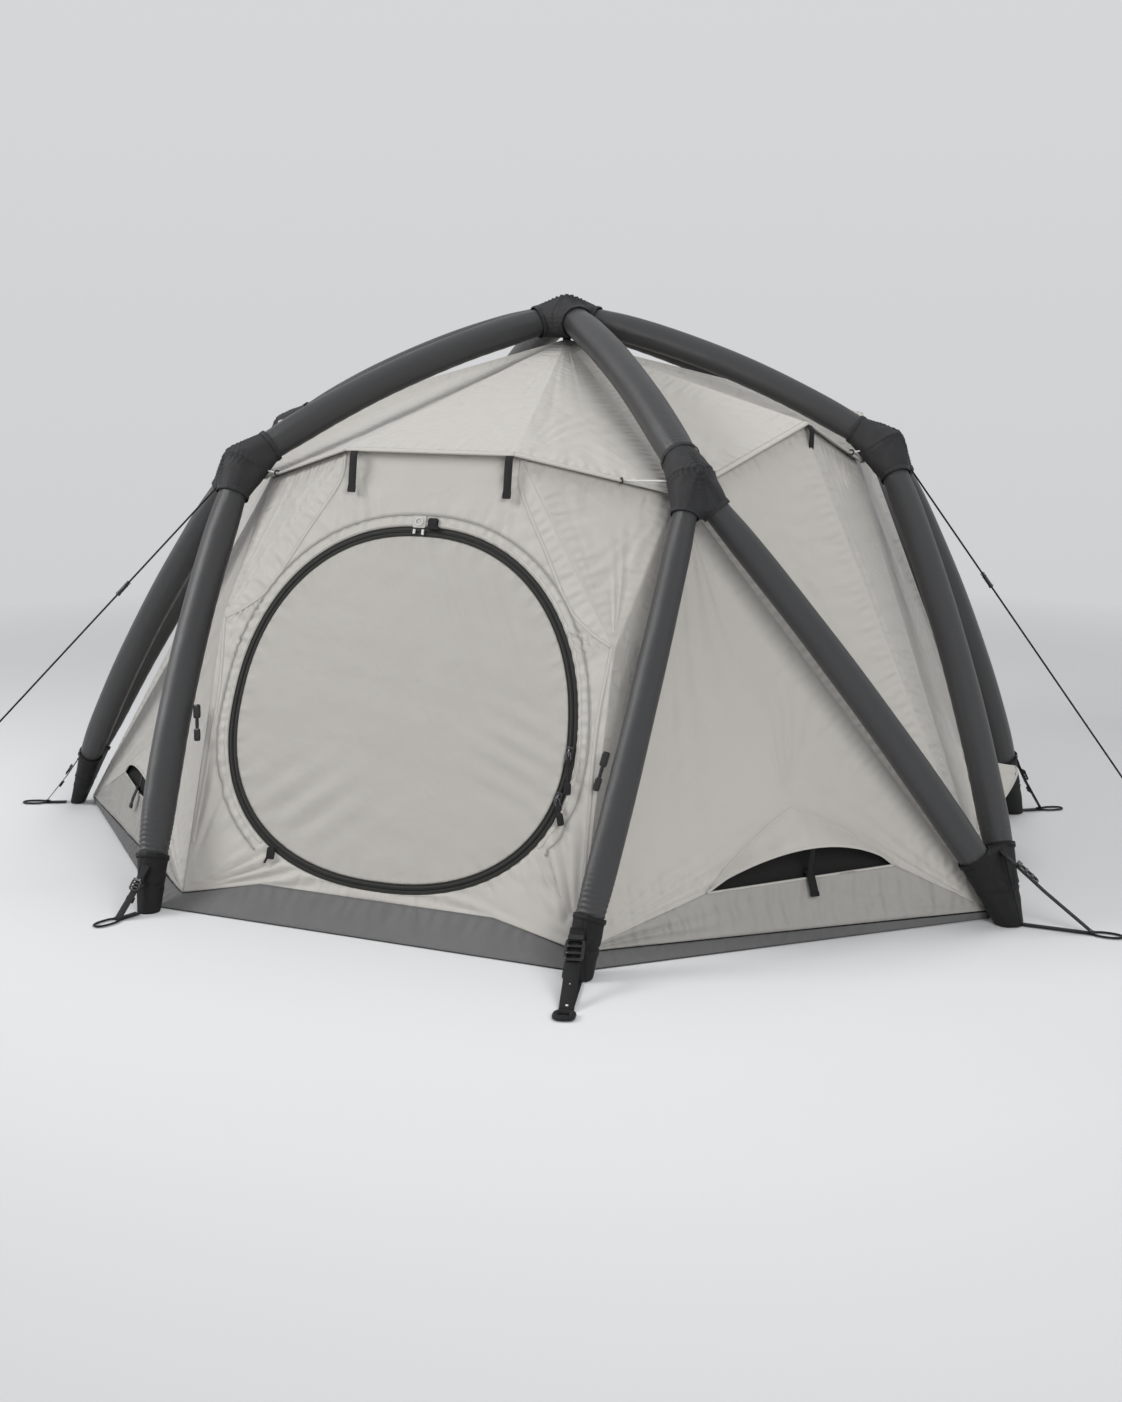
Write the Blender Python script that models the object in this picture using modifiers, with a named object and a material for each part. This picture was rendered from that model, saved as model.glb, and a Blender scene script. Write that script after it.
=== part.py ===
"""Inflatable frame tent: six air-beam hubs round an apex, eight feet, a hung canopy and a round zip door.

The frame is a table of hub and foot points. Every beam, cover, boot, strap and cloth panel takes its
place from those points, so a change of one size moves all that it carries. The door faces -Y, the
origin lies on the ground under the apex, and the rear pair of side feet stands closer in than the front.
"""
from math import atan2, cos, pi, radians, sin

import bmesh
import bpy
from mathutils import Matrix, Vector

# Frame points, metres
APEX_HEIGHT = 1.453
SHOULDER_X = 0.633
SHOULDER_Y = 0.707
SHOULDER_HEIGHT = 1.063
SIDE_HUB_X = 0.924
SIDE_HUB_HEIGHT = 1.107
DOOR_FOOT_X = 0.58
DOOR_FOOT_Y = 1.277
FRONT_SIDE_FOOT_X = 1.40
REAR_SIDE_FOOT_X = 1.226
SIDE_FOOT_Y = 0.517
FOOT_AXIS_HEIGHT = 0.03
TENT_CORE_HEIGHT = 0.45

# Air beams
BEAM_RADIUS = 0.042
ROOF_BOW = 0.045
LEG_BOW = 0.038
BEAM_POINTS = 8
BEAM_RESOLUTION = 4
BEAM_START = 0.072
SINGLE_FOOT_START = 0.04
DOUBLE_FOOT_START = 0.148
SEAT_GAP = 0.0003
WELD_DISTANCE = SEAT_GAP / 30
CUT_TOLERANCE = WELD_DISTANCE / 10
PLANE_TOLERANCE = SEAT_GAP / 3
SMOOTH_ANGLE = radians(40.0)

# Sewn covers at the hubs and boots at the feet
COVER_REACH = 0.094
COVER_WALL = 0.0055
COVER_BALL_RADIUS = 0.053
SINGLE_BOOT_REACH = 0.112
DOUBLE_BOOT_REACH = 0.168
BOOT_SOLE_RADIUS = 0.055
COVER_SIDES = 12

# Cloth
CLOTH = 0.003
CANOPY_DROP = 0.068
HUB_INSET = 0.07
WALL_FOOT_INSET = 0.05
EAVE_TUCK = 0.022
EAVE_RISE = 0.02
ROOF_NET_COUNT = 4
WALL_NET_COUNT = 2
TRIM_DEPTH = 0.07
TRIM_BACK = 0.03
SEAM_GAP = 0.0005
DRAW_PER_AREA = 0.07
MIDDLE_FACTOR = 27
HANGER_WIDTH = 0.025
HANGER_THICKNESS = 0.003

# Eave corners, pushed out over the walls
DOOR_EAVE_X = 0.232
DOOR_EAVE_Y = 0.85
DOOR_EAVE_HEIGHT = 1.124
SIDE_EAVE_RADIUS = 0.835
SIDE_EAVE_TURN = radians(19.0)
SIDE_EAVE_HEIGHT = 1.182

# Flat door and rear panels
PANEL_SET_BACK = 0.097
PANEL_SET_IN = 0.035
PANEL_WAIST = 0.005
PANEL_BASE_Y = DOOR_FOOT_Y - PANEL_SET_BACK
PANEL_CORNER_X = DOOR_FOOT_X - PANEL_SET_IN
PANEL_SHOULDER_X = PANEL_CORNER_X - PANEL_WAIST
PANEL_SHOULDER_HEIGHT = 0.691
APRON_HALF_WIDTH = 0.32
APRON_HEIGHT = 0.07
APRON_GAP = 0.0006

# Door opening, zip and flap, measured up the sloping panel
DOOR_HALF_WIDTH = 0.46
DOOR_HALF_HEIGHT = 0.436
DOOR_CENTRE_RISE = 0.512
DOOR_EXPONENT = 2.25
DOOR_TAPER_SHARE = 0.09
DOOR_POINTS = 48
ZIP_WIDTH = 0.024
ZIP_THICKNESS = 0.006
ZIP_GAP = 0.0006
FLAP_THICKNESS = 0.003
SLIDER_LENGTH = 0.03
SLIDER_WIDTH = 0.014
SLIDER_HEIGHT = 0.008
PULL_LENGTH = 0.05
PULL_WIDTH = 0.009
PULL_THICKNESS = 0.003
PULL_EYE_POINTS = 12
UPPER_SLIDER_TURN = radians(-7.0)
LOWER_SLIDER_TURN = radians(-21.0)
SLIDER_TRAVEL_TURN = radians(36.0)

# Hooded vents low in the six leg triangles
HOOD_NEAR_SHARE = 0.307
HOOD_FAR_SHARE = 0.769
HOOD_PEAK_SHARE = 0.53
HOOD_NEAR_HEIGHT = 0.106
HOOD_FAR_HEIGHT = 0.131
HOOD_PEAK_HEIGHT = 0.293
HOOD_END = 0.008
HOOD_OUT = 0.085
HOOD_ARCH = 0.06
HOOD_SEGMENTS = 6

# Groundsheet
FLOOR_INSET = 0.035
FLOOR_TUCK = 0.002
BOOT_CLEARANCE = 0.044
FLOOR_THICKNESS = 0.004
RIM_HEIGHT = 0.024

# Peg straps at the feet
STRAP_WIDTH = 0.026
STRAP_THICKNESS = 0.003
STRAP_TOP_SHARE = 0.72
LONG_JUNCTION = 0.19
SHORT_JUNCTION = 0.085
LONG_REACH = 0.27
SHORT_REACH = 0.165
PEG_LOOP_LENGTH = 0.075
PEG_LOOP_WIDTH = 0.04
PEG_LOOP_BAND = 0.007
PEG_LOOP_THICKNESS = 0.006
PEG_LOOP_POINTS = 20
BUCKLE_LENGTH = 0.03
BUCKLE_WIDTH = 0.036
BUCKLE_THICKNESS = 0.009
BUCKLE_BAR = 0.006
BUCKLE_BAR_COUNT = 3
BUCKLE_PLACE_SHARE = 0.57
KEEPER_LENGTH = 0.028
KEEPER_THICKNESS = 0.007

# Guy lines
CORD_DIAMETER = 0.005
LEFT_GUY_START_RISE = 0.014
RIGHT_GUY_START_RISE = 0.043
LEFT_GUY_END = Vector((-1.362, -1.522, CORD_DIAMETER / 2))
RIGHT_GUY_END = Vector((1.787, 0.0, CORD_DIAMETER / 2))
LEFT_ADJUSTER_SHARE = 0.307
RIGHT_ADJUSTER_SHARE = 0.338
CORD_POINTS = 24
CORD_RESOLUTION = 2
ADJUSTER_LENGTH = 0.04
ADJUSTER_WIDTH = 0.018
ADJUSTER_THICKNESS = 0.011

# Inflation valve on a rear leg
VALVE_LEG = "leg_beam_rear_left_to_rear_left"
VALVE_PLACE_SHARE = 0.74
VALVE_RADIUS = 0.019
VALVE_BASE_THICKNESS = 0.006
VALVE_NECK_RADIUS = 0.013
VALVE_NECK_HEIGHT = 0.01
CAP_RADIUS = 0.016
CAP_HEIGHT = 0.009
VALVE_SIDES = 24

CHARCOAL = (0.055, 0.056, 0.058, 1.0)
BLACK = (0.012, 0.012, 0.013, 1.0)
CANVAS = (0.50, 0.48, 0.45, 1.0)
FLOOR_GREY = (0.105, 0.107, 0.11, 1.0)

parts = bpy.data.collections.new("inflatable_tent")
cutters = bpy.data.collections.new("cutters")


def clear_scene():
    for item in list(bpy.data.objects):
        bpy.data.objects.remove(item, do_unlink=True)


def material(name, colour, roughness):
    """A Principled material for one piece."""
    made = bpy.data.materials.new(name)
    made.use_nodes = True
    shader = made.node_tree.nodes["Principled BSDF"]
    shader.inputs["Base Color"].default_value = colour
    shader.inputs["Roughness"].default_value = roughness
    return made


def finish(item, colour, roughness=0.8):
    """Give a part its own material and put it in the parts collection."""
    item.data.materials.clear()
    item.data.materials.append(material(item.name + "_finish", colour, roughness))
    parts.objects.link(item)
    return item


def as_cutter(item):
    """Hide a helper solid from render and draw it as wire."""
    item.hide_render = True
    item.display_type = "WIRE"
    cutters.objects.link(item)
    return item


def cut(item, cutter, mend=False):
    """Take the cutter away from the item; mend clears the item's own folds that touch."""
    change = item.modifiers.new("cut " + cutter.name, "BOOLEAN")
    change.operation = "DIFFERENCE"
    change.object = cutter
    change.solver = "EXACT"
    change.use_self = mend


def join(item, other):
    """Fuse another solid into the item."""
    change = item.modifiers.new("join " + other.name, "BOOLEAN")
    change.operation = "UNION"
    change.object = other
    change.solver = "EXACT"


def mesh_object(name, bm, location=None):
    """Turn a bmesh into an object; its points are taken relative to the location."""
    mesh = bpy.data.meshes.new(name)
    place = Vector(location) if location is not None else Vector()
    bmesh.ops.translate(bm, verts=bm.verts, vec=-place)
    bm.to_mesh(mesh)
    bm.free()
    item = bpy.data.objects.new(name, mesh)
    item.location = place
    return item


def meshed(curve_object):
    """Replace a curve object by its evaluated mesh with welded caps."""
    graph = bpy.context.evaluated_depsgraph_get()
    mesh = bpy.data.meshes.new_from_object(curve_object.evaluated_get(graph))
    name = curve_object.name
    place = curve_object.matrix_world.copy()
    curve = curve_object.data
    bpy.data.objects.remove(curve_object)
    bpy.data.curves.remove(curve)
    bm = bmesh.new()
    bm.from_mesh(mesh)
    bmesh.ops.remove_doubles(bm, verts=bm.verts, dist=WELD_DISTANCE)
    bm.to_mesh(mesh)
    bm.free()
    mesh.name = name
    item = bpy.data.objects.new(name, mesh)
    item.matrix_world = place
    return item


def tube(name, points, radius, resolution):
    """A round tube along points, as a bevelled curve turned into a mesh."""
    curve = bpy.data.curves.new(name, "CURVE")
    curve.dimensions = "3D"
    curve.twist_mode = "Z_UP"
    curve.bevel_depth = radius
    curve.bevel_resolution = resolution
    curve.use_fill_caps = True
    spline = curve.splines.new("POLY")
    spline.points.add(len(points) - 1)
    origin = Vector(points[0])
    for knot, point in zip(spline.points, points):
        knot.co = (*(Vector(point) - origin), 1.0)
    item = bpy.data.objects.new(name, curve)
    item.location = origin
    bpy.context.scene.collection.objects.link(item)
    bpy.context.view_layer.update()
    return meshed(item)


def plate(name, outlines, thickness, place):
    """A flat sheet from closed outlines, the first the rim and the rest holes, put at a matrix."""
    curve = bpy.data.curves.new(name, "CURVE")
    curve.dimensions = "2D"
    curve.fill_mode = "BOTH"
    curve.extrude = thickness / 2
    for outline in outlines:
        spline = curve.splines.new("POLY")
        spline.points.add(len(outline) - 1)
        spline.use_cyclic_u = True
        for knot, point in zip(spline.points, outline):
            knot.co = (point[0], point[1], 0.0, 1.0)
    item = bpy.data.objects.new(name, curve)
    item.matrix_world = place
    bpy.context.scene.collection.objects.link(item)
    bpy.context.view_layer.update()
    return meshed(item)


# Frame points by name
HUBS = {
    "front_left": Vector((-SHOULDER_X, -SHOULDER_Y, SHOULDER_HEIGHT)),
    "front_right": Vector((SHOULDER_X, -SHOULDER_Y, SHOULDER_HEIGHT)),
    "right": Vector((SIDE_HUB_X, 0.0, SIDE_HUB_HEIGHT)),
    "rear_right": Vector((SHOULDER_X, SHOULDER_Y, SHOULDER_HEIGHT)),
    "rear_left": Vector((-SHOULDER_X, SHOULDER_Y, SHOULDER_HEIGHT)),
    "left": Vector((-SIDE_HUB_X, 0.0, SIDE_HUB_HEIGHT)),
}
FEET = {
    "door_left": Vector((-DOOR_FOOT_X, -DOOR_FOOT_Y, FOOT_AXIS_HEIGHT)),
    "door_right": Vector((DOOR_FOOT_X, -DOOR_FOOT_Y, FOOT_AXIS_HEIGHT)),
    "side_front_right": Vector((FRONT_SIDE_FOOT_X, -SIDE_FOOT_Y, FOOT_AXIS_HEIGHT)),
    "side_rear_right": Vector((REAR_SIDE_FOOT_X, SIDE_FOOT_Y, FOOT_AXIS_HEIGHT)),
    "rear_right": Vector((DOOR_FOOT_X, DOOR_FOOT_Y, FOOT_AXIS_HEIGHT)),
    "rear_left": Vector((-DOOR_FOOT_X, DOOR_FOOT_Y, FOOT_AXIS_HEIGHT)),
    "side_rear_left": Vector((-REAR_SIDE_FOOT_X, SIDE_FOOT_Y, FOOT_AXIS_HEIGHT)),
    "side_front_left": Vector((-FRONT_SIDE_FOOT_X, -SIDE_FOOT_Y, FOOT_AXIS_HEIGHT)),
}
LEGS = (
    ("front_left", "door_left"),
    ("front_left", "side_front_left"),
    ("front_right", "door_right"),
    ("front_right", "side_front_right"),
    ("right", "side_front_right"),
    ("right", "side_rear_right"),
    ("rear_right", "side_rear_right"),
    ("rear_right", "rear_right"),
    ("rear_left", "rear_left"),
    ("rear_left", "side_rear_left"),
    ("left", "side_rear_left"),
    ("left", "side_front_left"),
)
# Peg strap of each foot: compass turn, where its webbings join, and how far the loop reaches
STRAPS = {
    "door_left": (radians(-105.5), SHORT_JUNCTION, SHORT_REACH),
    "door_right": (radians(-73.5), LONG_JUNCTION, LONG_REACH),
    "side_front_right": (radians(0.0), LONG_JUNCTION, LONG_REACH),
    "side_rear_right": (radians(35.0), SHORT_JUNCTION, SHORT_REACH),
    "rear_right": (radians(73.5), SHORT_JUNCTION, SHORT_REACH),
    "rear_left": (radians(106.5), SHORT_JUNCTION, SHORT_REACH),
    "side_rear_left": (radians(145.0), SHORT_JUNCTION, SHORT_REACH),
    "side_front_left": (radians(-153.8), SHORT_JUNCTION, SHORT_REACH),
}
FOOT_ORDER = ("door_left", "door_right", "side_front_right", "side_rear_right",
              "rear_right", "rear_left", "side_rear_left", "side_front_left")
DOOR_SIDE = 0
REAR_SIDE = 4
DOUBLE_FEET = ("side_front_right", "side_rear_right", "side_rear_left", "side_front_left")
APEX = Vector((0.0, 0.0, APEX_HEIGHT))
CORE = Vector((0.0, 0.0, TENT_CORE_HEIGHT))


class Beam:
    """One air beam: a bowed centre line between two frame points, with its trims."""

    def __init__(self, name, start, end, bow, start_trim, end_trim):
        self.name = name
        self.start = start
        self.end = end
        self.bow = bow
        self.start_trim = start_trim
        self.end_trim = end_trim
        self.length = (end - start).length
        axis = (end - start).normalized()
        middle = (start + end) / 2
        lean = middle - CORE
        self.outward = (lean - axis * lean.dot(axis)).normalized()

    def at(self, share):
        """Centre line point at a share of the length: a parabola bowed outward."""
        straight = self.start.lerp(self.end, share)
        return straight + self.outward * (4 * self.bow * share * (1 - share))

    def along(self, share):
        """Unit tangent of the centre line at a share of the length."""
        slope = self.end - self.start + self.outward * (4 * self.bow * (1 - 2 * share))
        return slope.normalized()

    def path(self, extra=0.0):
        """Centre line points between the trims, with both ends carried on by extra."""
        first = self.start_trim / self.length
        last = 1 - self.end_trim / self.length
        count = BEAM_POINTS - 1
        points = [self.at(first + (last - first) * step / count) for step in range(count + 1)]
        points[0] = points[0] + (points[0] - points[1]).normalized() * extra
        points[-1] = points[-1] + (points[-1] - points[-2]).normalized() * extra
        return points


def make_beams():
    """All beams by name: six in the roof, twelve legs."""
    beams = {}
    for name, point in HUBS.items():
        label = "roof_beam_" + name
        beams[label] = Beam(label, APEX, point, ROOF_BOW, BEAM_START, BEAM_START)
    for hub, foot in LEGS:
        label = "leg_beam_" + hub + "_to_" + foot
        trim = DOUBLE_FOOT_START if foot in DOUBLE_FEET else SINGLE_FOOT_START
        beams[label] = Beam(label, HUBS[hub], FEET[foot], LEG_BOW, BEAM_START, trim)
    return beams


def mitre(item, corner, normal):
    """Trim a beam end flat on the plane shared with its neighbour, keeping the normal's side."""
    bm = bmesh.new()
    bm.from_mesh(item.data)
    place = corner - item.location + normal * SEAT_GAP / 2
    geometry = list(bm.verts) + list(bm.edges) + list(bm.faces)
    bmesh.ops.bisect_plane(bm, geom=geometry, plane_co=place, plane_no=normal, clear_inner=True,
                           dist=CUT_TOLERANCE)
    rim = [edge for edge in bm.edges if edge.is_boundary]
    if rim:
        bmesh.ops.holes_fill(bm, edges=rim, sides=0)
    bm.to_mesh(item.data)
    bm.free()


def neighbours():
    """Pairs of beams that leave one corner at a narrow angle."""
    pairs = []
    order = sorted(HUBS, key=lambda name: atan2(HUBS[name].y, HUBS[name].x))
    for index, name in enumerate(order):
        following = order[(index + 1) % len(order)]
        pairs.append((APEX, "roof_beam_" + name, "roof_beam_" + following))
    for first, second in zip(LEGS[::2], LEGS[1::2]):
        names = ["leg_beam_" + hub + "_to_" + foot for hub, foot in (first, second)]
        pairs.append((HUBS[first[0]], names[0], names[1]))
    return pairs


def build_beams(beams):
    """Beam tubes, mitred against their neighbours, and the wider tubes that bore their sockets."""
    bores = {}
    made = {}
    for name, beam in beams.items():
        made[name] = tube(name, beam.path(), BEAM_RADIUS, BEAM_RESOLUTION)
        bore = tube("bore_" + name, beam.path(SEAT_GAP), BEAM_RADIUS + SEAT_GAP, BEAM_RESOLUTION)
        bores[name] = as_cutter(bore)
    for corner, first, second in neighbours():
        split = (beams[first].along(0.0) - beams[second].along(0.0)).normalized()
        mitre(made[first], corner, split)
        mitre(made[second], corner, -split)
    for item in made.values():
        item.data.shade_smooth()
        item.data.set_sharp_from_angle(angle=SMOOTH_ANGLE)
        finish(item, CHARCOAL, 0.75)
    return bores


def ring_points(centre, axis, radius):
    """Points of a circle square to an axis."""
    side = axis.cross(Vector((0.0, 0.0, 1.0))).normalized()
    up = side.cross(axis).normalized()
    turns = [2 * pi * step / COVER_SIDES for step in range(COVER_SIDES)]
    return [centre + side * radius * cos(turn) + up * radius * sin(turn) for turn in turns]


def disc_points(centre, radius):
    """Points of a level circle."""
    turns = [2 * pi * step / COVER_SIDES for step in range(COVER_SIDES)]
    return [centre + Vector((radius * cos(turn), radius * sin(turn), 0.0)) for turn in turns]


def hull_object(name, points, centre):
    """The convex skin drawn tight over points, as taut sewn cloth is."""
    bm = bmesh.new()
    for point in points:
        bm.verts.new(point)
    result = bmesh.ops.convex_hull(bm, input=list(bm.verts))
    loose = [item for item in result["geom_interior"] if isinstance(item, bmesh.types.BMVert)]
    bmesh.ops.delete(bm, geom=loose, context="VERTS")
    bmesh.ops.recalc_face_normals(bm, faces=list(bm.faces))
    return mesh_object(name, bm, centre)


def hub_skin(name, centre, arms, grow):
    """A hub cover's skin: hem circles on each beam and a round crown, grown all round."""
    points = []
    for beam, share in arms:
        circle_centre = beam.at(share)
        axis = beam.along(share)
        if share > 0.5:
            axis = -axis
        points += ring_points(circle_centre + axis * grow, axis, BEAM_RADIUS + COVER_WALL + grow)
    ball = bmesh.new()
    bmesh.ops.create_icosphere(ball, subdivisions=2, radius=COVER_BALL_RADIUS + grow)
    points += [vert.co + centre for vert in ball.verts]
    ball.free()
    return hull_object(name, points, centre)


def boot_skin(name, foot, arms, grow):
    """A boot's skin: hem circles on its legs over a flat sole, grown all round but down."""
    points = []
    for beam, share in arms:
        axis = -beam.along(share)
        points += ring_points(beam.at(share) + axis * grow, axis, BEAM_RADIUS + COVER_WALL + grow)
    sole = Vector((foot.x, foot.y, 0.0))
    points += disc_points(sole, BOOT_SOLE_RADIUS + grow)
    if grow > 0:
        points += disc_points(sole - Vector((0.0, 0.0, COVER_WALL)), BOOT_SOLE_RADIUS + grow)
    return hull_object(name, points, sole)


def build_covers(beams, bores):
    """Hub covers and boots, bored for their beams, and grown skins that trim the cloth."""
    skins = {}
    arms = [(beams["roof_beam_" + hub], COVER_REACH / beams["roof_beam_" + hub].length) for hub in HUBS]
    groups = [("apex_hub_cover", APEX, arms)]
    for hub, point in HUBS.items():
        roof = beams["roof_beam_" + hub]
        arms = [(roof, 1 - COVER_REACH / roof.length)]
        for leg_hub, foot in LEGS:
            if leg_hub == hub:
                leg = beams["leg_beam_" + hub + "_to_" + foot]
                arms.append((leg, COVER_REACH / leg.length))
        groups.append(("hub_cover_" + hub, point, arms))
    for name, centre, arms in groups:
        cover = finish(hub_skin(name, centre, arms, 0.0), CHARCOAL, 0.85)
        for beam, share in arms:
            cut(cover, bores[beam.name])
        skins[name] = as_cutter(hub_skin("skin_" + name, centre, arms, SEAT_GAP))
    for foot, point in FEET.items():
        reach = DOUBLE_BOOT_REACH if foot in DOUBLE_FEET else SINGLE_BOOT_REACH
        arms = []
        for leg_hub, leg_foot in LEGS:
            if leg_foot == foot:
                leg = beams["leg_beam_" + leg_hub + "_to_" + foot]
                arms.append((leg, 1 - reach / leg.length))
        name = "boot_" + foot
        boot = finish(boot_skin(name, point, arms, 0.0), BLACK, 0.85)
        for beam, share in arms:
            cut(boot, bores[beam.name])
        skins[name] = as_cutter(boot_skin("skin_" + name, point, arms, SEAT_GAP))
    return skins


def toward_core(point, inset):
    """A frame point moved in toward the tent's core."""
    return point + (CORE - point).normalized() * inset


def foot_corner(foot, inset, height):
    """A foot point moved in level toward the middle, at a height."""
    level = Vector((foot.x, foot.y, 0.0))
    moved = level - level.normalized() * inset
    return Vector((moved.x, moved.y, height))


def mirrored(point):
    """The same point on the left side."""
    return Vector((-point.x, point.y, point.z))


def eave_corners():
    """The outer corners of the roof's eaves, by name."""
    corners = {}
    for side, x_sign in (("left", -1), ("right", 1)):
        for end, y_sign in (("door", -1), ("rear", 1)):
            corner = Vector((x_sign * DOOR_EAVE_X, y_sign * DOOR_EAVE_Y, DOOR_EAVE_HEIGHT))
            corners[end + "_" + side] = corner
        for end, y_sign in (("front", -1), ("rear", 1)):
            x = x_sign * SIDE_EAVE_RADIUS * cos(SIDE_EAVE_TURN)
            y = y_sign * SIDE_EAVE_RADIUS * sin(SIDE_EAVE_TURN)
            corners[side + "_" + end] = Vector((x, y, SIDE_EAVE_HEIGHT))
    return corners


def cloth_net(facets, cuts):
    """A bmesh of triangles, each cut into a fine net and drawn in toward its middle.

    The draw at a point is MIDDLE_FACTOR * a * b * c of its three corner weights, which is nothing
    on the seams and one in the middle, times the facet's area and DRAW_PER_AREA.
    """
    bm = bmesh.new()
    known = {}
    for facet in facets:
        corners = []
        for point in facet:
            key = tuple(round(value, 6) for value in point)
            if key not in known:
                known[key] = bm.verts.new(point)
            corners.append(known[key])
        bm.faces.new(corners)
    bmesh.ops.recalc_face_normals(bm, faces=list(bm.faces))
    outward = sum((face.normal.dot(face.calc_center_median() - CORE) for face in bm.faces))
    if outward < 0:
        bmesh.ops.reverse_faces(bm, faces=list(bm.faces))
    if cuts:
        bmesh.ops.subdivide_edges(bm, edges=list(bm.edges), cuts=cuts, use_grid_fill=True)
    bmesh.ops.triangulate(bm, faces=list(bm.faces))
    moves = {}
    for first, second, third in facets:
        normal = (second - first).cross(third - first)
        area = normal.length
        normal = normal / area
        if normal.dot((first + second + third) / 3 - CORE) < 0:
            normal = -normal
        for vert in bm.verts:
            weights = corner_weights(vert.co, first, second, third)
            if weights is not None:
                share = MIDDLE_FACTOR * weights[0] * weights[1] * weights[2]
                moves[vert] = moves.get(vert, Vector()) - normal * DRAW_PER_AREA * area / 2 * share
    for vert, move in moves.items():
        vert.co += move
    return bm


def corner_weights(point, first, second, third):
    """The three corner weights of a point in a triangle, or None when it lies off it."""
    normal = (second - first).cross(third - first)
    area = normal.length
    normal = normal / area
    if abs((point - first).dot(normal)) > PLANE_TOLERANCE:
        return None
    weights = (
        (second - point).cross(third - point).dot(normal) / area,
        (third - point).cross(first - point).dot(normal) / area,
        (first - point).cross(second - point).dot(normal) / area,
    )
    return weights if min(weights) > 0 else None


def solidify(item, thickness, offset):
    """Give an open surface its cloth thickness; the offset is -1 inside, 0 centred, 1 outside."""
    change = item.modifiers.new("thickness", "SOLIDIFY")
    change.thickness = thickness
    change.offset = offset
    change.use_even_offset = offset != 0


def roof_facets():
    """Triangles of the roof from the hung apex to the hub corners and eave corners."""
    top = APEX - Vector((0.0, 0.0, CANOPY_DROP))
    eaves = eave_corners()
    hub = {name: toward_core(point, HUB_INSET) for name, point in HUBS.items()}
    rim = [
        hub["front_left"], eaves["door_left"], eaves["door_right"], hub["front_right"],
        eaves["right_front"], hub["right"], eaves["right_rear"], hub["rear_right"],
        eaves["rear_right"], eaves["rear_left"], hub["rear_left"],
        eaves["left_rear"], hub["left"], eaves["left_front"],
    ]
    return [(top, rim[index], rim[(index + 1) % len(rim)]) for index in range(len(rim))]


def hanger(name, corner, hub_point):
    """A webbing tab sewn to a corner of the roof, up to the middle of its hub cover."""
    run = (corner - hub_point).normalized()
    sewn = corner + run * HANGER_THICKNESS * 2
    bm = bmesh.new()
    bmesh.ops.create_cube(bm, size=1.0)
    size = Vector((HANGER_WIDTH, HANGER_THICKNESS, (sewn - hub_point).length))
    bmesh.ops.scale(bm, verts=bm.verts, vec=size)
    bmesh.ops.rotate(bm, verts=bm.verts, matrix=run.to_track_quat("Z", "Y").to_matrix())
    bmesh.ops.translate(bm, verts=bm.verts, vec=(sewn + hub_point) / 2)
    return as_cutter(mesh_object(name, bm))


def build_roof(skins):
    """The roof cloth, hung from the hub covers, and the deep copy that trims the walls."""
    roof = mesh_object("roof_canopy", cloth_net(roof_facets(), ROOF_NET_COUNT))
    solidify(roof, CLOTH, -1.0)
    finish(roof, CANVAS, 0.7)
    join(roof, hanger("hanger_apex", APEX - Vector((0.0, 0.0, CANOPY_DROP)), APEX))
    cut(roof, skins["apex_hub_cover"])
    for hub, point in HUBS.items():
        join(roof, hanger("hanger_" + hub, toward_core(point, HUB_INSET), point))
        cut(roof, skins["hub_cover_" + hub])
    trim = mesh_object("roof_trim", cloth_net(roof_facets(), ROOF_NET_COUNT))
    below = CLOTH + SEAT_GAP
    solidify(trim, TRIM_DEPTH, 1 - 2 * below / TRIM_DEPTH)
    return as_cutter(trim)


def panel_frame(y_sign):
    """Matrix of the sloping door panel (y_sign -1) or rear panel (1): x level, y up, z outward."""
    base = Vector((0.0, y_sign * PANEL_BASE_Y, FOOT_AXIS_HEIGHT))
    top = Vector((0.0, y_sign * (DOOR_EAVE_Y - EAVE_TUCK), DOOR_EAVE_HEIGHT))
    up = (top - base).normalized()
    side = Vector((-y_sign, 0.0, 0.0))
    frame = Matrix((side, up, side.cross(up))).transposed().to_4x4()
    frame.translation = base
    return frame


def panel_rise(height):
    """Distance up the sloping panel to a height."""
    run = PANEL_BASE_Y - DOOR_EAVE_Y + EAVE_TUCK
    climb = DOOR_EAVE_HEIGHT - FOOT_AXIS_HEIGHT
    return (height - FOOT_AXIS_HEIGHT) * (run * run + climb * climb) ** 0.5 / climb


def panel_corners():
    """The right half of the panel's rim, from the apron up past the eave."""
    return [
        (APRON_HALF_WIDTH, panel_rise(APRON_HEIGHT + APRON_GAP)),
        (PANEL_CORNER_X, panel_rise(RIM_HEIGHT + APRON_GAP)),
        (PANEL_SHOULDER_X, panel_rise(PANEL_SHOULDER_HEIGHT)),
        (DOOR_EAVE_X, panel_rise(DOOR_EAVE_HEIGHT + EAVE_RISE)),
    ]


def panel_outline(grow=0.0):
    """The whole rim of the panel, both halves, grown at the sides and the foot."""
    foot = panel_corners()[:2]
    half = [(x + grow, y - grow) for x, y in foot] + [(x + grow, y) for x, y in panel_corners()[2:]]
    return half + [(-x, y) for x, y in reversed(half)]


def door_point(turn, grow=0.0):
    """A point of the door's outline: a superellipse that narrows toward the top."""
    level = abs(cos(turn)) ** (2 / DOOR_EXPONENT) * (1 if cos(turn) > 0 else -1)
    climb = abs(sin(turn)) ** (2 / DOOR_EXPONENT) * (1 if sin(turn) > 0 else -1)
    x = level * (DOOR_HALF_WIDTH + grow) * (1 - DOOR_TAPER_SHARE * climb)
    return Vector((x, DOOR_CENTRE_RISE + climb * (DOOR_HALF_HEIGHT + grow), 0.0))


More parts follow.
